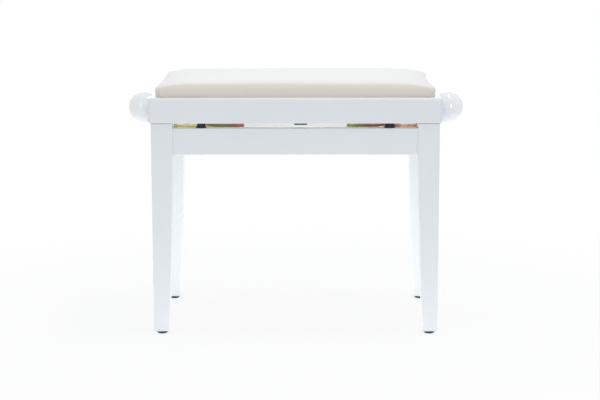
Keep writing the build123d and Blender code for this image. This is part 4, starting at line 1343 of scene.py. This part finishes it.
class BENCH_OT_set_stage(bpy.types.Operator):
    """Lays the pale floor, hangs the soft lamps and sets the camera"""

    bl_idname = "bench.set_stage"
    bl_label = "Set the stage"

    SENSOR_WIDTH = 36.0
    CLIP_END = 200.0
    FLOOR_REACH = 40.0
    # Distances over which the paper turns white, and its share of white near the bench
    FADE = (0.35, 1.1)
    NEAR_WHITE = 0.82
    # Name, place, point that it faces, width and height, power setting, whether gloss mirrors it
    LAMPS = (
        ("top_lamp", (0.0, -0.35, 2.5), (0.0, 0.0, 0.45), (2.0, 2.0), "top_power", False),
        ("spark_lamp", (0.66, -0.02, 2.55), (0.0, 0.0, 0.45), (0.8, 0.3), "spark_power", True),
        ("back_lamp", (0.0, 2.3, 1.15), (0.0, 0.0, 0.5), (2.6, 1.5), "back_power", True),
        ("left_lamp", (-1.65, -2.75, 0.92), (-0.1, 0.0, 0.35), (0.6, 1.8), "side_power", True),
        ("right_lamp", (1.65, -2.75, 0.92), (0.1, 0.0, 0.35), (0.6, 1.8), "side_power", True),
        ("table_lamp", (0.0, 0.04, 0.006), (0.0, 0.04, 1.0), (0.47, 0.45), "table_power", False),
        ("paper_lamp", (0.0, 0.0, 0.004), (0.0, 0.0, 1.0), (2.2, 1.9), "paper_power", False),
        ("foot_lamp", (0.0, 0.0, 0.005), (0.0, 0.0, 1.0), (1.0, 0.75), "foot_power", False),
        ("inner_lamp", (0.0, -0.09, 0.25), (0.0, 0.1, 0.25), (0.4, 0.3), "inner_power", False),
        ("gap_lamp", (0.0, -0.142, 0.4015), (0.0, -0.02, 0.385), (0.52, 0.005), "gap_power", True),
    )
    # Each has a height of its own, because lamps in one plane hide each other's light
    PAPER_LAMPS = ("table_lamp", "paper_lamp", "foot_lamp")

    def execute(self, context):
        scene, stage = context.scene, context.scene.bench_stage
        scene.view_settings.view_transform = "Standard"
        self.set_camera(scene, stage)
        self.lay_floor(scene, stage)
        self.light_room(scene, stage)
        for name, where, towards, size, power, mirrored in self.LAMPS:
            lamp = self.hang_lamp(scene, name, where, towards, mirrored)
            lamp.size, lamp.size_y = size
            lamp.energy = getattr(stage, power)
            if name in self.PAPER_LAMPS:
                lamp.color = stage.table_colour
        return {"FINISHED"}

    def set_camera(self, scene, stage):
        """The camera that took the photograph, on a 36 mm wide sensor."""
        camera = bpy.data.objects.new("camera", bpy.data.cameras.new("camera"))
        camera.data.lens = stage.lens
        camera.data.sensor_width = self.SENSOR_WIDTH
        camera.data.clip_end = self.CLIP_END
        camera.location = stage.camera_place
        camera.rotation_euler = stage.camera_turn
        scene.collection.objects.link(camera)
        scene.camera = camera

    def seen(self, tree):
        """1 for rays from the camera, from gloss and through glass, 0 for rays that only light."""
        path = place(tree, "ShaderNodeLightPath").outputs
        direct = calc(tree, "MAXIMUM", path["Is Camera Ray"], path["Is Glossy Ray"])
        return calc(tree, "MAXIMUM", direct, path["Is Transmission Ray"])

    def lay_floor(self, scene, stage):
        """A wide paper floor that is white from afar, keeps the shadow and is clear from below."""
        work = bmesh.new()
        bmesh.ops.create_circle(work, cap_ends=True, segments=64, radius=self.FLOOR_REACH)
        mesh = bpy.data.meshes.new("floor")
        work.to_mesh(mesh)
        work.free()
        floor = bpy.data.objects.new("floor", mesh)
        scene.collection.objects.link(floor)
        material = bpy.data.materials.new("paper_floor")
        tree = emptied(material)
        away = place(tree, "ShaderNodeVectorMath", {0: object_place(tree)}, operation="LENGTH")
        fade = spread(
            tree, away.outputs["Value"], *self.FADE, self.NEAR_WHITE, 1.0, interpolation_type="SMOOTHSTEP",
        )
        paper = place(tree, "ShaderNodeBsdfDiffuse", {"Color": opaque(stage.floor)}).outputs[0]
        white = place(tree, "ShaderNodeEmission", {"Color": WHITE, "Strength": 1.0}).outputs[0]
        shown = mixed(tree, calc(tree, "MULTIPLY", fade, self.seen(tree)), paper, white)
        under = place(tree, "ShaderNodeNewGeometry").outputs["Backfacing"]
        clear = place(tree, "ShaderNodeBsdfTransparent").outputs[0]
        place(tree, "ShaderNodeOutputMaterial", {"Surface": mixed(tree, under, shown, clear)})
        dress(floor, material)

    def light_room(self, scene, stage):
        """Soft light from all round, and white where the camera sees it."""
        scene.world = bpy.data.worlds.new("room")
        tree = emptied(scene.world)
        light = {"Color": opaque(stage.sky), "Strength": stage.sky_strength}
        soft = place(tree, "ShaderNodeBackground", light).outputs[0]
        white = place(tree, "ShaderNodeBackground", {"Color": WHITE, "Strength": 1.0}).outputs[0]
        place(tree, "ShaderNodeOutputWorld", {"Surface": mixed(tree, self.seen(tree), soft, white)})

    def hang_lamp(self, scene, name, where, towards, mirrored):
        """A rectangular lamp that faces a point, and that gloss may mirror."""
        lamp = bpy.data.lights.new(name, "AREA")
        lamp.shape = "RECTANGLE"
        hung = bpy.data.objects.new(name, lamp)
        hung.location = where
        hung.rotation_euler = (Vector(where) - Vector(towards)).to_track_quat("Z", "Y").to_euler()
        hung.visible_camera = False
        hung.visible_glossy = mirrored
        scene.collection.objects.link(hung)
        return lamp


# Add-on parts

OPERATORS = (
    BENCH_OT_lacquer_frame,
    BENCH_OT_polish_knobs,
    BENCH_OT_bare_timber,
    BENCH_OT_upholster_cushion,
    BENCH_OT_plate_lift,
    BENCH_OT_thread_spindle,
    BENCH_OT_thread_leg_bolts,
    BENCH_OT_drive_screws,
    BENCH_OT_fit_small_parts,
    BENCH_OT_set_stage,
)
SETTINGS = {
    "bench_lacquer": LacquerSettings,
    "bench_cushion": CushionSettings,
    "bench_metal": MetalSettings,
    "bench_small_parts": SmallPartSettings,
    "bench_stage": StageSettings,
}


class BENCH_PT_sidebar(bpy.types.Panel):
    """Lists the bench's settings and the steps of its dressing"""

    bl_idname = "BENCH_PT_sidebar"
    bl_label = "Piano bench"
    bl_space_type = "VIEW_3D"
    bl_region_type = "UI"
    bl_category = "Piano bench"

    def draw(self, context):
        for name, group in SETTINGS.items():
            box = self.layout.box()
            box.label(text=group.__doc__)
            for key in group.__annotations__:
                box.prop(getattr(context.scene, name), key)
        for operator in OPERATORS:
            self.layout.operator(operator.bl_idname)


def register():
    """Registers the settings, the steps and the panel."""
    for name, group in SETTINGS.items():
        bpy.utils.register_class(group)
        setattr(bpy.types.Scene, name, PointerProperty(type=group))
    for operator in OPERATORS:
        bpy.utils.register_class(operator)
    bpy.utils.register_class(BENCH_PT_sidebar)


def unregister():
    """Takes out what register put in."""
    bpy.utils.unregister_class(BENCH_PT_sidebar)
    for operator in reversed(OPERATORS):
        bpy.utils.unregister_class(operator)
    for name, group in SETTINGS.items():
        delattr(bpy.types.Scene, name)
        bpy.utils.unregister_class(group)


def main():
    """Dresses the bench step by step."""
    register()
    for operator in OPERATORS:
        family, step = operator.bl_idname.split(".")
        getattr(getattr(bpy.ops, family), step)()


if __name__ == "__main__":
    main()
